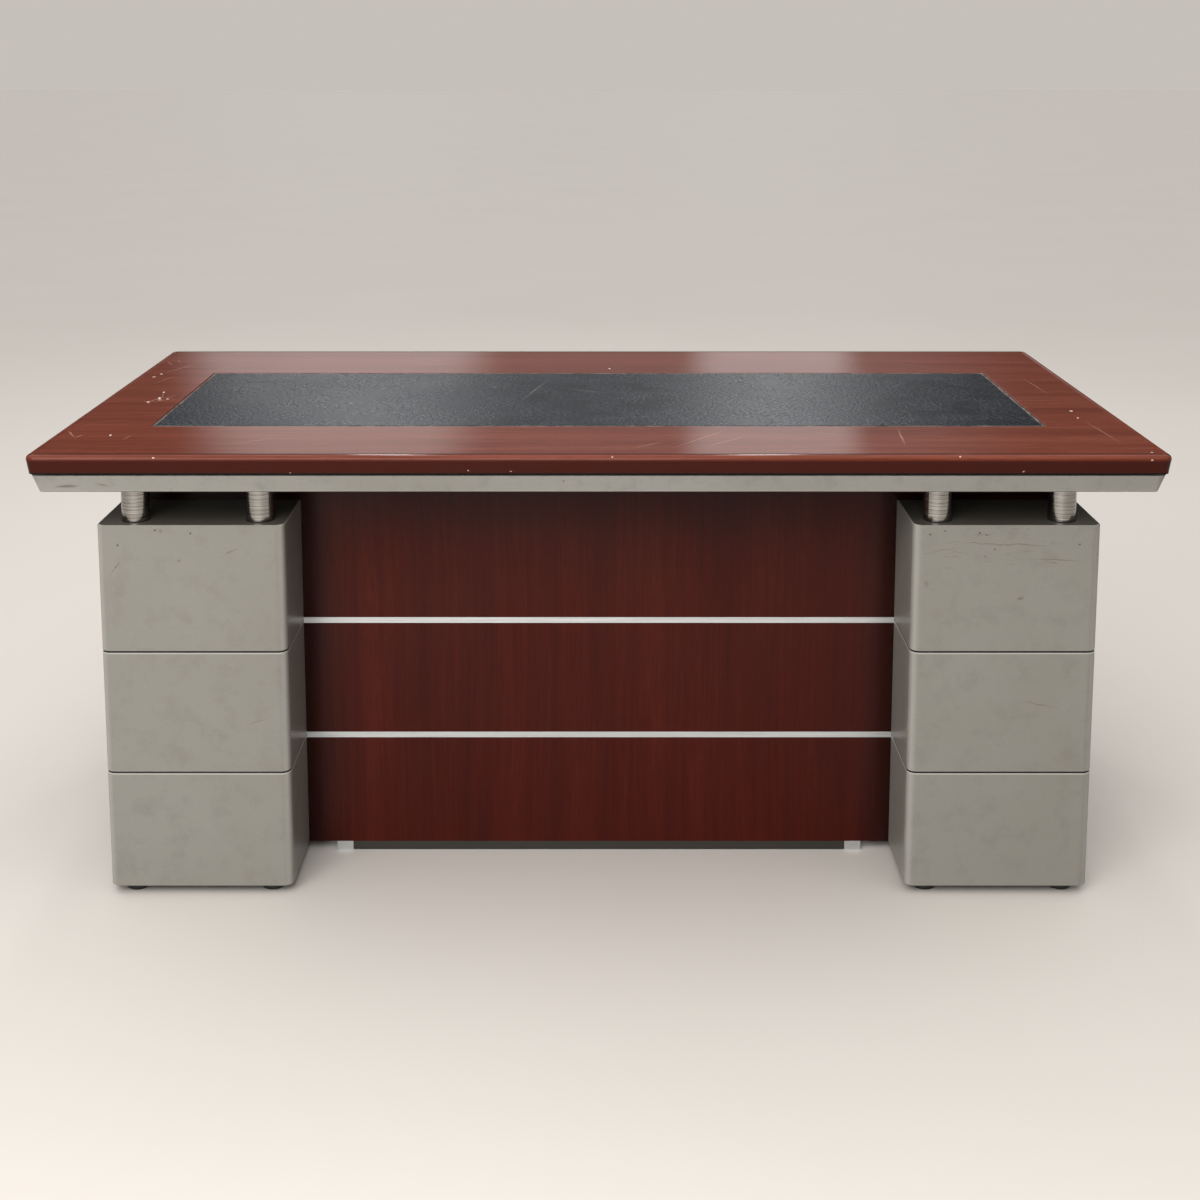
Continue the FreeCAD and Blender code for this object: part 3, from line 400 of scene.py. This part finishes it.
def grey_lacquer(name, tone, highlight_corners=()):
    # Sprayed lacquer on fibreboard: warm grey, satin, with a fine dusty speckle, brown scuffs and pinholes on
    # the fronts, bare tan board where a corner is chipped, and a painted highlight along each round corner.
    material, tree, shader, place = blank_material(name, IOR=1.36)
    split = add(tree, "ShaderNodeSeparateXYZ", {0: place})
    cloud = add(tree, "ShaderNodeTexNoise", {"Vector": place, "Scale": METRE / 260, "Detail": 5.0})
    smudge = add(tree, "ShaderNodeTexNoise", {"Vector": place, "Scale": METRE / 42, "Detail": 6.0,
                                              "Roughness": 0.7})
    speck = add(tree, "ShaderNodeTexNoise", {"Vector": place, "Scale": METRE / 2.4, "Detail": 2.0})
    layers = []
    for noise, start, end, first, last, colour in (
        (cloud, 0.30, 0.72, 0.0, 0.35, "#8C867A"), (smudge, 0.50, 0.72, 0.0, 0.30, "#7A746A"),
        (speck, 0.60, 0.76, 0.0, 0.22, "#6E685D"), (speck, 0.24, 0.38, 0.16, 0.0, "#C6C1B7"),
    ):
        mask = add(tree, "ShaderNodeMapRange", {0: noise.outputs["Fac"], 1: start, 2: end, 3: first, 4: last})
        layers.append((mask.outputs[0], colour))
    pits = add(tree, "ShaderNodeTexVoronoi", {"Vector": place, "Scale": METRE / 26})
    pit = add(tree, "ShaderNodeMapRange", {0: pits.outputs["Distance"], 1: 0.03, 2: 0.06, 3: 0.6, 4: 0.0})
    rare = add(tree, "ShaderNodeMath", {0: pits.outputs["Color"], 1: 0.56}, operation="GREATER_THAN")
    pit = add(tree, "ShaderNodeMath", {0: pit.outputs[0], 1: rare.outputs[0]}, operation="MULTIPLY")
    layers.append((pit.outputs[0], "#5B554B"))
    front_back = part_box("pylon_left_base")[0].y + 16 * MM
    corner_highlight_half, lip_drop, cap_shade_half, lip_highlight_half, groove_shade_half = 7 * MM, 2.6 * MM, 0.2 * MM, 1.0 * MM, 1.3 * MM
    facing = add(tree, "ShaderNodeMath", {0: split.outputs["Y"], 1: front_back}, operation="LESS_THAN")
    facing = facing.outputs[0]
    worn = wobbled(tree, place, 18, 4.0)
    streaked = grain(tree, place, per(60, 60, 5), 4.0)
    streaked = add(tree, "ShaderNodeMapRange", {0: streaked, 1: 0.35, 2: 0.65, 3: 0.25, 4: facing})
    rubbed = marks(tree, place, RUBBED_ZONES, upright=True)
    rubbed = add(tree, "ShaderNodeMapRange", {0: rubbed, 1: 0.0, 2: 0.5})
    hairs = grain(tree, worn, per(34, 34, 2.6), 5.0, 0.65)
    hairs = add(tree, "ShaderNodeMapRange", {0: hairs, 1: 0.61, 2: 0.70, 4: 0.8})
    flecks = add(tree, "ShaderNodeTexVoronoi", {"Vector": worn, "Scale": METRE / 11})
    fleck = add(tree, "ShaderNodeMapRange", {0: flecks.outputs["Distance"], 1: 0.08, 2: 0.16, 3: 1.0, 4: 0.0})
    some = add(tree, "ShaderNodeMath", {0: flecks.outputs["Color"], 1: 0.46}, operation="GREATER_THAN")
    fleck = add(tree, "ShaderNodeMath", {0: fleck.outputs[0], 1: some.outputs[0]}, operation="MULTIPLY")
    for mark, share, start, end, depth, colour in (
        (marks(tree, worn, FRONT_SCUFFS, upright=True), streaked.outputs[0], 0.05, 0.6, 0.6, "#65574A"),
        (hairs.outputs[0], rubbed.outputs[0], 0.05, 0.6, 0.42, "#5E5043"),
        (fleck.outputs[0], rubbed.outputs[0], 0.05, 0.6, 0.85, "#53463A"),
        (marks(tree, worn, FRONT_PITS, upright=True), 1.0, 0.2, 0.4, 0.8, "#4A4137"),
        (marks(tree, worn, FRONT_CHIPS, upright=True), 1.0, 0.15, 0.3, 1.0, "#B08F68"),
    ):
        mask = add(tree, "ShaderNodeMath", {0: mark, 1: share}, operation="MULTIPLY")
        mask = add(tree, "ShaderNodeMath", {0: mask.outputs[0], 1: facing}, operation="MULTIPLY")
        mask = add(tree, "ShaderNodeMapRange", {0: mask.outputs[0], 1: start, 2: end, 4: depth})
        layers.append((mask.outputs[0], colour))
    aside = add(tree, "ShaderNodeMath", {0: split.outputs["X"]}, operation="ABSOLUTE")
    # A painted highlight along each round front corner of the pylons.
    for corner in highlight_corners:
        away = add(tree, "ShaderNodeMath", {0: aside.outputs[0], 1: corner}, operation="SUBTRACT")
        away = add(tree, "ShaderNodeMath", {0: away.outputs[0]}, operation="ABSOLUTE")
        mask = add(tree, "ShaderNodeMapRange", {0: away.outputs[0], 1: 0.0, 2: corner_highlight_half, 3: 0.5, 4: 0.0})
        mask = add(tree, "ShaderNodeMath", {0: mask.outputs[0], 1: facing}, operation="MULTIPLY")
        layers.append((mask.outputs[0], "#C9C5BC"))
    # Painted shade in the two grooves, a painted highlight along the lip under each, and painted shade on the
    # top that the standoffs stand on, under the worktop.
    rows = [(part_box("pylon_left_top")[1].z, cap_shade_half, "#5E5951")]
    for band in ("middle", "upper"):
        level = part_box(f"pylon_left_{band}")[0].z
        rows += [(level - lip_drop, lip_highlight_half, "#BFBAB0"), (level, groove_shade_half, "#211F1C")]
    for level, half, colour in rows:
        line = add(tree, "ShaderNodeMath", {0: split.outputs["Z"], 1: level, 2: half}, operation="COMPARE")
        layers.append((line.outputs[0], colour))
    satin = add(tree, "ShaderNodeMapRange", {0: cloud.outputs["Fac"], 1: 0.3, 2: 0.7, 3: 0.30, 4: 0.40})
    colour = coats(tree, paint(tone), *layers)
    surface(tree, shader, colour, satin.outputs[0], speck.outputs["Fac"], 0.15, 0.2)
    return material


def writing_leather(finish):
    # Charcoal leather with a pressed pebble grain: a soft sheen, small dents between the pebbles, fine
    # creases that dull the sheen, and pale scratches. The pebbles are drawn about four times their real size,
    # so that they show.
    material, tree, shader, place = blank_material(
        "Writing_Leather", **{"IOR": 1.31, "Specular Tint": paint("#B8D4F0")})
    pebble = add(tree, "ShaderNodeTexVoronoi", {"Vector": wobbled(tree, place, 6, 1.2), "Scale": METRE / 4.5},
                 feature="SMOOTH_F1").outputs["Distance"]
    cloud = add(tree, "ShaderNodeTexNoise", {"Vector": place, "Scale": METRE / 180, "Detail": 5.0})
    cloud = cloud.outputs["Fac"]
    # The dents between the pebbles are painted darker as shade.
    dent_shade = add(tree, "ShaderNodeMapRange", {0: pebble, 1: 0.25, 2: 0.7, 4: 0.8})
    haze = add(tree, "ShaderNodeMapRange", {0: cloud, 1: 0.4, 2: 0.75, 4: 0.3})
    patches = add(tree, "ShaderNodeTexNoise", {"Vector": place, "Scale": METRE / 60, "Detail": 3.0})
    cracked = add(tree, "ShaderNodeMapRange", {0: patches.outputs["Fac"], 1: 0.36, 2: 0.62, 3: 0.15, 4: 0.55})
    crackle = add(tree, "ShaderNodeTexVoronoi", {"Vector": wobbled(tree, place, 16, 5.0),
                                                 "Scale": METRE / 12}, feature="DISTANCE_TO_EDGE")
    veins = add(tree, "ShaderNodeMapRange", {0: crackle.outputs["Distance"], 1: 0.03, 2: 0.13,
                                             3: cracked.outputs[0], 4: 0.0})
    worn = wobbled(tree, place, 20, 3.0)
    scratch = marks(tree, worn, LEATHER_SCRATCHES)
    scratch = add(tree, "ShaderNodeMapRange", {0: scratch, 1: 0.1, 2: 0.8, 4: 0.45})
    colour = coats(tree, paint(finish.leather), (dent_shade.outputs[0], "#0B0D10"), (haze.outputs[0], "#23272E"),
                   (veins.outputs[0], "#262C34"), (scratch.outputs[0], "#8E8F91"))
    sheen = add(tree, "ShaderNodeMapRange", {0: cloud, 1: 0.3, 2: 0.7, 3: 0.19, 4: 0.29})
    sheen = add(tree, "ShaderNodeMath", {0: veins.outputs[0], 1: 0.22, 2: sheen.outputs[0]},
                operation="MULTIPLY_ADD")
    relief = add(tree, "ShaderNodeMath", {0: veins.outputs[0], 1: 1.2, 2: pebble}, operation="MULTIPLY_ADD")
    surface(tree, shader, colour, sheen.outputs[0], relief.outputs[0], 0.6, 0.45, invert=True)
    return material


def turned_steel():
    # Stainless steel turned on a lathe and left bright: fine rings round it, which stretch the highlights.
    material, tree, shader, place = blank_material("Turned_Steel", Metallic=1.0)
    rings = grain(tree, place, per(90, 90, 1.2))
    low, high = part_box("standoff_left_outer")
    pitch = (high.z - low.z) / (RINGS + 1)
    height = add(tree, "ShaderNodeSeparateXYZ", {0: place}).outputs["Z"]
    turn = add(tree, "ShaderNodeMath", {0: height, 1: low.z + pitch / 2}, operation="SUBTRACT")
    turn = add(tree, "ShaderNodeMath", {0: turn.outputs[0], 1: pitch}, operation="FLOORED_MODULO")
    # Each ring carries a thin dark line of painted shade.
    ring_shade_half = 0.3 * MM
    line = add(tree, "ShaderNodeMath", {0: turn.outputs[0], 1: pitch / 2, 2: ring_shade_half}, operation="COMPARE")
    steel = add(tree, "ShaderNodeValToRGB", {0: rings}, ((0.35, "#85827D"), (0.65, "#ABA8A3")))
    polish = add(tree, "ShaderNodeMapRange", {0: rings, 1: 0.3, 2: 0.7, 3: 0.14, 4: 0.22})
    colour = coats(tree, steel.outputs[0], (line.outputs[0], "#5E5B57"))
    surface(tree, shader, colour, polish.outputs[0], rings, 0.03, 0.1)
    return material


def brushed(name, scale, dark, light, roughness):
    """Metal with hair lines along its length."""
    material, tree, shader, place = blank_material(name, Metallic=1.0)
    lines = grain(tree, place, scale)
    metal = add(tree, "ShaderNodeValToRGB", {0: lines}, ((0.3, dark), (0.7, light))).outputs[0]
    satin = add(tree, "ShaderNodeMapRange", {0: lines, 1: 0.3, 2: 0.7, 3: roughness, 4: roughness + 0.15})
    surface(tree, shader, metal, satin.outputs[0], lines, 0.2, 0.1)
    return material, tree, shader, place, metal


def brushed_aluminium():
    # Anodised aluminium brushed along its length: pale, satin, with hair lines; the plinth rail between the
    # feet is painted darker.
    material, tree, shader, place, metal = brushed("Brushed_Aluminium", along(X_AXIS, 120, 1.0), "#C4C7C8",
                                                   "#E0E4E6", 0.3)
    split = add(tree, "ShaderNodeSeparateXYZ", {0: place})
    rail_top, rail_half = 20 * MM, 430 * MM
    low = add(tree, "ShaderNodeMath", {0: split.outputs["Z"], 1: rail_top}, operation="LESS_THAN")
    rail = add(tree, "ShaderNodeMath", {0: split.outputs["X"], 1: 0.0, 2: rail_half}, operation="COMPARE")
    dull = add(tree, "ShaderNodeMath", {0: low.outputs[0], 1: rail.outputs[0]}, operation="MULTIPLY")
    tree.links.new(coats(tree, metal, (dull.outputs[0], "#514F4C")), shader.inputs["Base Color"])
    return material


def brushed_handle():
    # Steel bar brushed along its length: satin, with hair lines, a little darker than the turned posts.
    return brushed("Brushed_Steel", per(40, 1.0, 1.0), "#AFADA9", "#D0CECA", 0.24)[0]


def speckled(name, dark, light, size, roughness, depth, **constants):
    """A fine even mottle with its bump, for moulded and pressed surfaces."""
    material, tree, shader, place = blank_material(name, **constants)
    fleck = add(tree, "ShaderNodeTexNoise", {"Vector": place, "Scale": METRE / size, "Detail": 4.0})
    fleck, swing = fleck.outputs["Fac"], 0.06
    tone = add(tree, "ShaderNodeValToRGB", {0: fleck}, ((0.32, dark), (0.68, light)))
    matt = add(tree, "ShaderNodeMapRange", {0: fleck, 1: 0.3, 2: 0.7, 3: roughness - swing,
                                            4: roughness + swing})
    surface(tree, shader, tone.outputs[0], matt.outputs[0], fleck, 0.25, depth)
    return material


def zinc_plated_steel():
    # Zinc plated steel: pressed or turned, cool grey, with a soft uneven bloom.
    return speckled("Zinc_Plated_Steel", "#A2A5A7", "#B7B9BA", 11, 0.34, 0.05, Metallic=1.0)


def beech_board():
    # Beech veneer on the drawer boxes: pale, with short fine flecks along the board and a matt seal.
    material, tree, shader, place, wood = mahogany("Beech_Board", ("#A98560", "#C19D75", "#D2B18B"), Y_AXIS,
                                                   IOR=1.45)
    fibre = grain(tree, place, along(Y_AXIS, 30, 2), 2.0)
    matt = add(tree, "ShaderNodeMapRange", {0: fibre, 1: 0.3, 2: 0.7, 3: 0.44, 4: 0.56})
    surface(tree, shader, wood, matt.outputs[0], fibre, 0.2, 0.1)
    return material


def settings():
    """The sizes, the finish and the stage that the sidebar's values hold."""
    return bpy.context.scene.desk_sizes, bpy.context.scene.desk_finish, bpy.context.scene.desk_stage


def kept(name, make, *arguments):
    """A material that several operators share, made the first time it is asked for."""
    found = bpy.data.materials.get(name)
    return found if found else make(*arguments)


def new_piece(name, mesh_source, material, body, replaces=()):
    """Turn a bmesh into a finished piece of the desk that rides on a body."""
    mesh = bpy.data.meshes.new(name)
    mesh_source.to_mesh(mesh)
    mesh_source.free()
    piece = bpy.data.objects.new(name, mesh)
    bpy.context.scene.collection.objects.link(piece)
    mesh.materials.append(material)
    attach(piece, body)
    if replaces:
        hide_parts(*replaces)
    return piece


def lathe(shape, outline, centre, axis, steps):
    """Turn an outline of (radius, height) points in mm round an axis through a centre."""
    axis = Vector(axis)
    side = axis.orthogonal().normalized()
    points = [shape.verts.new(centre + side * radius * MM + axis * height * MM) for radius, height in outline]
    lines = [shape.edges.new(pair) for pair in zip(points, points[1:])]
    bmesh.ops.spin(shape, geom=points + lines, cent=centre, axis=axis, angle=math.tau, steps=steps,
                   use_merge=True)
    bmesh.ops.remove_doubles(shape, verts=shape.verts, dist=MM / 1000)
    bmesh.ops.recalc_face_normals(shape, faces=shape.faces)


def eased_box(shape, low, high, radius, segments, upper_only=False):
    """A box with all its edges rounded, or only those round its upper face."""
    made = bmesh.ops.create_cube(shape, size=1.0)["verts"]
    bmesh.ops.scale(shape, vec=high - low, verts=made)
    bmesh.ops.translate(shape, vec=(low + high) / 2, verts=made)
    level = (low.z + high.z) / 2 if upper_only else low.z - radius
    edges = [edge for edge in shape.edges
             if edge.verts[0] in made and all(vert.co.z > level for vert in edge.verts)]
    bmesh.ops.bevel(shape, geom=edges, offset=radius, affect="EDGES", segments=segments, profile=0.5,
                    material=-1)


def smooth(piece, angle=SHARP_EDGE):
    """Shade a turned or rounded piece smooth, with its sharp edges kept."""
    piece.data.shade_smooth()
    piece.data.set_sharp_from_angle(angle=math.radians(angle))
    return piece


class DESK_OT_worktop(bpy.types.Operator):
    """Lacquer the veneered top and its lipping"""
    bl_idname = "desk.worktop"
    bl_label = "Worktop"

    def execute(self, context):
        finish = settings()[1]
        top = lacquered_top(finish)
        dress(top, "top_panel", "lipping_front", "lipping_back", "lipping_left", "lipping_right")
        return {"FINISHED"}


class DESK_OT_leather(bpy.types.Operator):
    """Lay the writing leather with its turned edge and the bead round it"""
    bl_idname = "desk.leather"
    bl_label = "Writing Leather"

    def execute(self, context):
        sizes, finish, _ = settings()
        shape = bmesh.new()
        eased_box(shape, *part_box("leather_inlay"), sizes.leather_edge, LEATHER_SEGMENTS, upper_only=True)
        new_piece("writing_leather", shape, writing_leather(finish), "desk",
                  ("leather_inlay",))
        # Extruded PVC bead: dark grey, satin, rubbed pale in places.
        dress(speckled("Dark_Bead", "#262423", "#7A736E", 22, 0.24, 0.1, IOR=1.5), "inlay_edging")
        return {"FINISHED"}


class DESK_OT_apron(bpy.types.Operator):
    """Lacquer the apron, and blacken the shadow strips and the rails under the top"""
    bl_idname = "desk.apron"
    bl_label = "Apron"

    def execute(self, context):
        finish = settings()[1]
        dress(grey_lacquer("Pale_Grey_Lacquer", finish.apron),
              "apron_front", "apron_back", "apron_left", "apron_right")
        # Black painted fibreboard: flat, with a dry fine tooth, on the rails under the top. On the shadow
        # strips the black is painted shadow in the gap between the worktop and the apron.
        dress(speckled("Black_Board_And_Shadow_Gap", "#121110", "#1D1B19", 6, 0.7, 0.15, IOR=1.45),
              "shadow_strips", "under_rails")
        return {"FINISHED"}


class DESK_OT_pylons(bpy.types.Operator):
    """Lacquer the pylons and finish the standoffs, gaskets and studs on them"""
    bl_idname = "desk.pylons"
    bl_label = "Pylons"

    def execute(self, context):
        finish = settings()[1]
        low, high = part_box("pylon_right_upper")
        corner_highlight_inset = 5 * MM
        dress(grey_lacquer("Grey_Lacquer", finish.lacquer, (low.x + corner_highlight_inset, high.x - corner_highlight_inset)),
              *[f"pylon_{side}_{band}" for side in SIDES for band in PYLON_BANDS])
        steel = turned_steel()
        for place in STANDOFFS:
            low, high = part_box(f"standoff_{place}")
            centre = Vector(((low.x + high.x) / 2, (low.y + high.y) / 2, low.z))
            radius, height = (high.x - low.x) / 2 / MM, (high.z - low.z) / MM
            outline = [(STUD_RADIUS, 0), (radius - RING_DEPTH, 0), (radius, RING_DEPTH)]
            for ring in range(1, RINGS + 1):
                level = height * ring / (RINGS + 1)
                outline += [(radius, level - RING_WIDTH / 2), (radius - RING_DEPTH, level),
                            (radius, level + RING_WIDTH / 2)]
            outline += [(radius, height - RING_DEPTH), (radius - RING_DEPTH, height), (STUD_RADIUS, height),
                        (STUD_RADIUS, 0)]
            shape = bmesh.new()
            lathe(shape, outline, centre, (0, 0, 1), STANDOFF_STEPS)
            smooth(new_piece(f"turned_standoff_{place}", shape, steel, "desk",
                             (f"standoff_{place}",)), SHARP_RING)
        # Moulded black rubber: matt, with a faint bloom.
        dress(speckled("Black_Rubber", "#141414", "#222221", 5, 0.62, 0.1, IOR=1.5), "standoff_gaskets")
        dress(kept("Zinc_Plated_Steel", zinc_plated_steel), "standoff_studs")
        return {"FINISHED"}


class DESK_OT_modesty_panel(bpy.types.Operator):
    """Lacquer the modesty panel, and finish its bright strips and the plinth"""
    bl_idname = "desk.modesty_panel"
    bl_label = "Modesty Panel"

    def execute(self, context):
        finish = settings()[1]
        dress(kept("Dark_Mahogany", lacquered_panel, finish), "modesty_panel")
        dress(brushed_aluminium(), "panel_strips", "panel_plinth")
        return {"FINISHED"}


class DESK_OT_pedestals(bpy.types.Operator):
    """Finish the two pedestals with their drawers, door, slides and hinges"""
    bl_idname = "desk.pedestals"
    bl_label = "Pedestals"

    def execute(self, context):
        sizes, finish, _ = settings()
        panel = kept("Dark_Mahogany", lacquered_panel, finish)
        zinc = kept("Zinc_Plated_Steel", zinc_plated_steel)
        dress(panel, "drawer_pedestal_sides", "cupboard_sides", "drawer_pedestal_decks", "cupboard_decks",
              "cupboard_shelf")
        fronts = [(f"drawer_{d}", f"drawer_{d}_front") for d in DRAWERS] + [("door", "door_panel")]
        for body, node in fronts:
            shape = bmesh.new()
            eased_box(shape, *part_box(node), sizes.board_edge, BOARD_SEGMENTS)
            smooth(new_piece(f"eased_{node}", shape, panel, body, (node,)))
        dress(beech_board(), *[f"drawer_{d}_box" for d in DRAWERS])
        dress(zinc, "slide_fixed", "hinge_board_leaves", "hinge_door_leaves", "hinge_pins", "shelf_pins",
              *[f"slide_{d}_{part}" for d in DRAWERS for part in ("drawer", "middle")])
        steel = brushed_handle()
        for body in [f"drawer_{d}" for d in DRAWERS] + ["door"]:
            node = f"{body}_handle"
            low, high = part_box(node)
            bar_low = Vector((low.x, high.y - BAR_DEPTH * MM, low.z))
            shape = bmesh.new()
            eased_box(shape, bar_low, high, sizes.handle_edge, BAR_SEGMENTS)
            middle = (low + high) / 2
            upright = high.z - low.z > high.x - low.x
            for side in (-1, 1):
                foot = Vector((middle.x, low.y, middle.z))
                foot[Z_AXIS if upright else X_AXIS] += POST_REACH * MM * side
                lathe(shape, POST_OUTLINE, foot, (0, 1, 0), POST_STEPS)
            smooth(new_piece(f"bar_{node}", shape, steel, body, (node,)))
        # Moulded black nylon: slightly waxy.
        nylon = speckled("Black_Nylon", "#161616", "#242424", 4, 0.45, 0.1, IOR=1.5)
        shape = bmesh.new()
        for side in (-1, 1):
            for x, y in GLIDE_PLACES:
                lathe(shape, GLIDE_OUTLINE, Vector((side * x * MM, y * MM, 0.0)), (0, 0, 1), GLIDE_STEPS)
        smooth(new_piece("moulded_glides", shape, nylon, "desk", ("glides",)))
        return {"FINISHED"}


class DESK_OT_stage(bpy.types.Operator):
    """Set the floor, the lights and the camera"""
    bl_idname = "desk.stage"
    bl_label = "Stage"

    def execute(self, context):
        stage = settings()[2]
        scene = context.scene
        scene.view_settings.view_transform = "Standard"
        shape = bmesh.new()
        bmesh.ops.create_grid(shape, x_segments=2, y_segments=2, size=FLOOR_HALF_WIDTH)
        mesh = bpy.data.meshes.new("studio_floor")
        shape.to_mesh(mesh)
        shape.free()
        floor = bpy.data.objects.new("studio_floor", mesh)
        scene.collection.objects.link(floor)
        # Smooth pale studio floor: matt, with a barely seen mottle.
        material, tree, shader, place = blank_material("Studio_Floor", Roughness=0.6, IOR=1.45)
        cloud = add(tree, "ShaderNodeTexNoise", {"Vector": place, "Scale": METRE / 900, "Detail": 3.0})
        mottle = add(tree, "ShaderNodeMapRange", {0: cloud.outputs["Fac"], 1: 0.3, 2: 0.7, 4: 0.25})
        shown = coats(tree, paint(stage.floor), (mottle.outputs[0], "#D2CAC1"))
        # Seen or mirrored, the floor has its full colour; the light that it throws back is held down.
        path = add(tree, "ShaderNodeLightPath").outputs
        direct = add(tree, "ShaderNodeMath", {0: path["Is Camera Ray"], 1: path["Is Glossy Ray"]},
                     operation="MAXIMUM")
        direct = add(tree, "ShaderNodeMath", {0: direct.outputs[0], 1: path["Is Transmission Ray"]},
                     operation="MAXIMUM")
        thrown = add(tree, "ShaderNodeMath", {0: 1.0, 1: direct.outputs[0]}, operation="SUBTRACT")
        tree.links.new(coats(tree, shown, (thrown.outputs[0], "#5E5953")), shader.inputs["Base Color"])
        mesh.materials.append(material)

        world = bpy.data.worlds.new("Studio")
        scene.world = world
        world.use_nodes = True
        tree = world.node_tree
        tree.nodes.clear()
        direction = add(tree, "ShaderNodeTexCoord").outputs["Generated"]
        height = add(tree, "ShaderNodeSeparateXYZ", {0: direction}).outputs["Z"]
        dome = add(tree, "ShaderNodeValToRGB", {0: height}, (
            (0.0, BACKDROP), (0.033, BACKDROP), (0.065, (0.04,) * 3), (0.34, (0.06,) * 3),
            (0.55, (0.75,) * 3), (1.0, (1.3,) * 3)))
        # Soft boxes behind the desk, which the lacquer and the leather mirror: direction, half size, level.
        glow = dome.outputs[0]
        for centre, half_size, level in (
            ((-0.15, 0.96, 0.14), (0.115, 0.6, 0.2), 0.54),
            ((0.10, 0.96, 0.26), (0.068, 0.6, 0.26), 0.62),
            ((0.0, 0.96, 0.22), (0.30, 0.6, 0.22), 0.17),
        ):
            local = add(tree, "ShaderNodeMapping", {"Vector": direction, "Location": centre,
                                                    "Scale": half_size}, vector_type="TEXTURE")
            spot = add(tree, "ShaderNodeTexGradient", {"Vector": local.outputs[0]}, gradient_type="SPHERICAL")
            soft = add(tree, "ShaderNodeMapRange", {0: spot.outputs["Fac"], 1: 0.14, 2: 0.44, 4: level},
                       interpolation_type="SMOOTHSTEP")
            glow = add(tree, "ShaderNodeMix", {0: 1.0, 6: glow, 7: soft.outputs[0]}, data_type="RGBA",
                       blend_type="ADD").outputs[2]
        # The camera itself sees a plain pale backdrop behind the floor.
        seen = add(tree, "ShaderNodeLightPath").outputs["Is Camera Ray"]
        glow = coats(tree, glow, (seen, BACKDROP))
        sky = add(tree, "ShaderNodeBackground", {"Color": glow, "Strength": 1.0})
        add(tree, "ShaderNodeOutputWorld", {"Surface": sky.outputs[0]})

        # Lamps: power in watts, width and height in metres, where each hangs and what it points at.
        for name, power, width, height, location, target in (
            ("key", stage.key_power, 3.2, 2.4, (-1.1, -3.5, 2.45), (-0.1, -0.3, 0.45)),
            ("fill", 0.04 * stage.key_power, 1.4, 1.0, (0.05, -3.4, 1.35), (0.05, -0.3, 0.45)),
            ("strip_left", 22.0, 0.24, 2.6, (-0.86, 3.0, 3.6), (-0.5, -0.47, 0.75)),
            ("strip_right", 22.0, 0.24, 2.6, (0.66, 3.0, 3.6), (0.35, -0.47, 0.75)),
        ):
            lamp = bpy.data.lights.new(name, "AREA")
            lamp.shape = "RECTANGLE"
            lamp.size, lamp.size_y, lamp.energy = width, height, power
            light = bpy.data.objects.new(name, lamp)
            scene.collection.objects.link(light)
            light.location = location
            light.rotation_euler = (Vector(target) - light.location).to_track_quat("-Z", "Y").to_euler()
            light.visible_camera = False

        lens = bpy.data.cameras.new("photograph")
        lens.lens = stage.focal_length
        lens.sensor_width = SENSOR_WIDTH
        lens.shift_y = CAMERA_SHIFT
        camera = bpy.data.objects.new("photograph", lens)
        scene.collection.objects.link(camera)
        camera.location = stage.camera_place
        camera.rotation_euler = (math.pi / 2 - stage.camera_pitch, 0.0, 0.0)
        scene.camera = camera
        return {"FINISHED"}


OPERATORS = (DESK_OT_worktop, DESK_OT_leather, DESK_OT_apron, DESK_OT_pylons, DESK_OT_modesty_panel,
             DESK_OT_pedestals, DESK_OT_stage)


class DESK_PT_sidebar(bpy.types.Panel):
    """The desk's pieces in the 3D view's sidebar"""
    bl_label = "Executive Desk"
    bl_space_type = "VIEW_3D"
    bl_region_type = "UI"
    bl_category = "Desk"

    def draw(self, context):
        for operator in OPERATORS:
            self.layout.operator(operator.bl_idname)


CLASSES = (DeskSizes, DeskFinish, DeskStage) + OPERATORS + (DESK_PT_sidebar,)


def register():
    """Make the classes and the scene's values known."""
    for cls in CLASSES:
        bpy.utils.register_class(cls)
    bpy.types.Scene.desk_sizes = bpy.props.PointerProperty(type=DeskSizes)
    bpy.types.Scene.desk_finish = bpy.props.PointerProperty(type=DeskFinish)
    bpy.types.Scene.desk_stage = bpy.props.PointerProperty(type=DeskStage)


def unregister():
    """Take the scene's values and the classes away again."""
    del bpy.types.Scene.desk_stage
    del bpy.types.Scene.desk_finish
    del bpy.types.Scene.desk_sizes
    for cls in reversed(CLASSES):
        bpy.utils.unregister_class(cls)


def main():
    """Dress the desk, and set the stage."""
    register()
    bpy.ops.desk.worktop()
    bpy.ops.desk.leather()
    bpy.ops.desk.apron()
    bpy.ops.desk.pylons()
    bpy.ops.desk.modesty_panel()
    bpy.ops.desk.pedestals()
    bpy.ops.desk.stage()


if __name__ == "__main__":
    main()
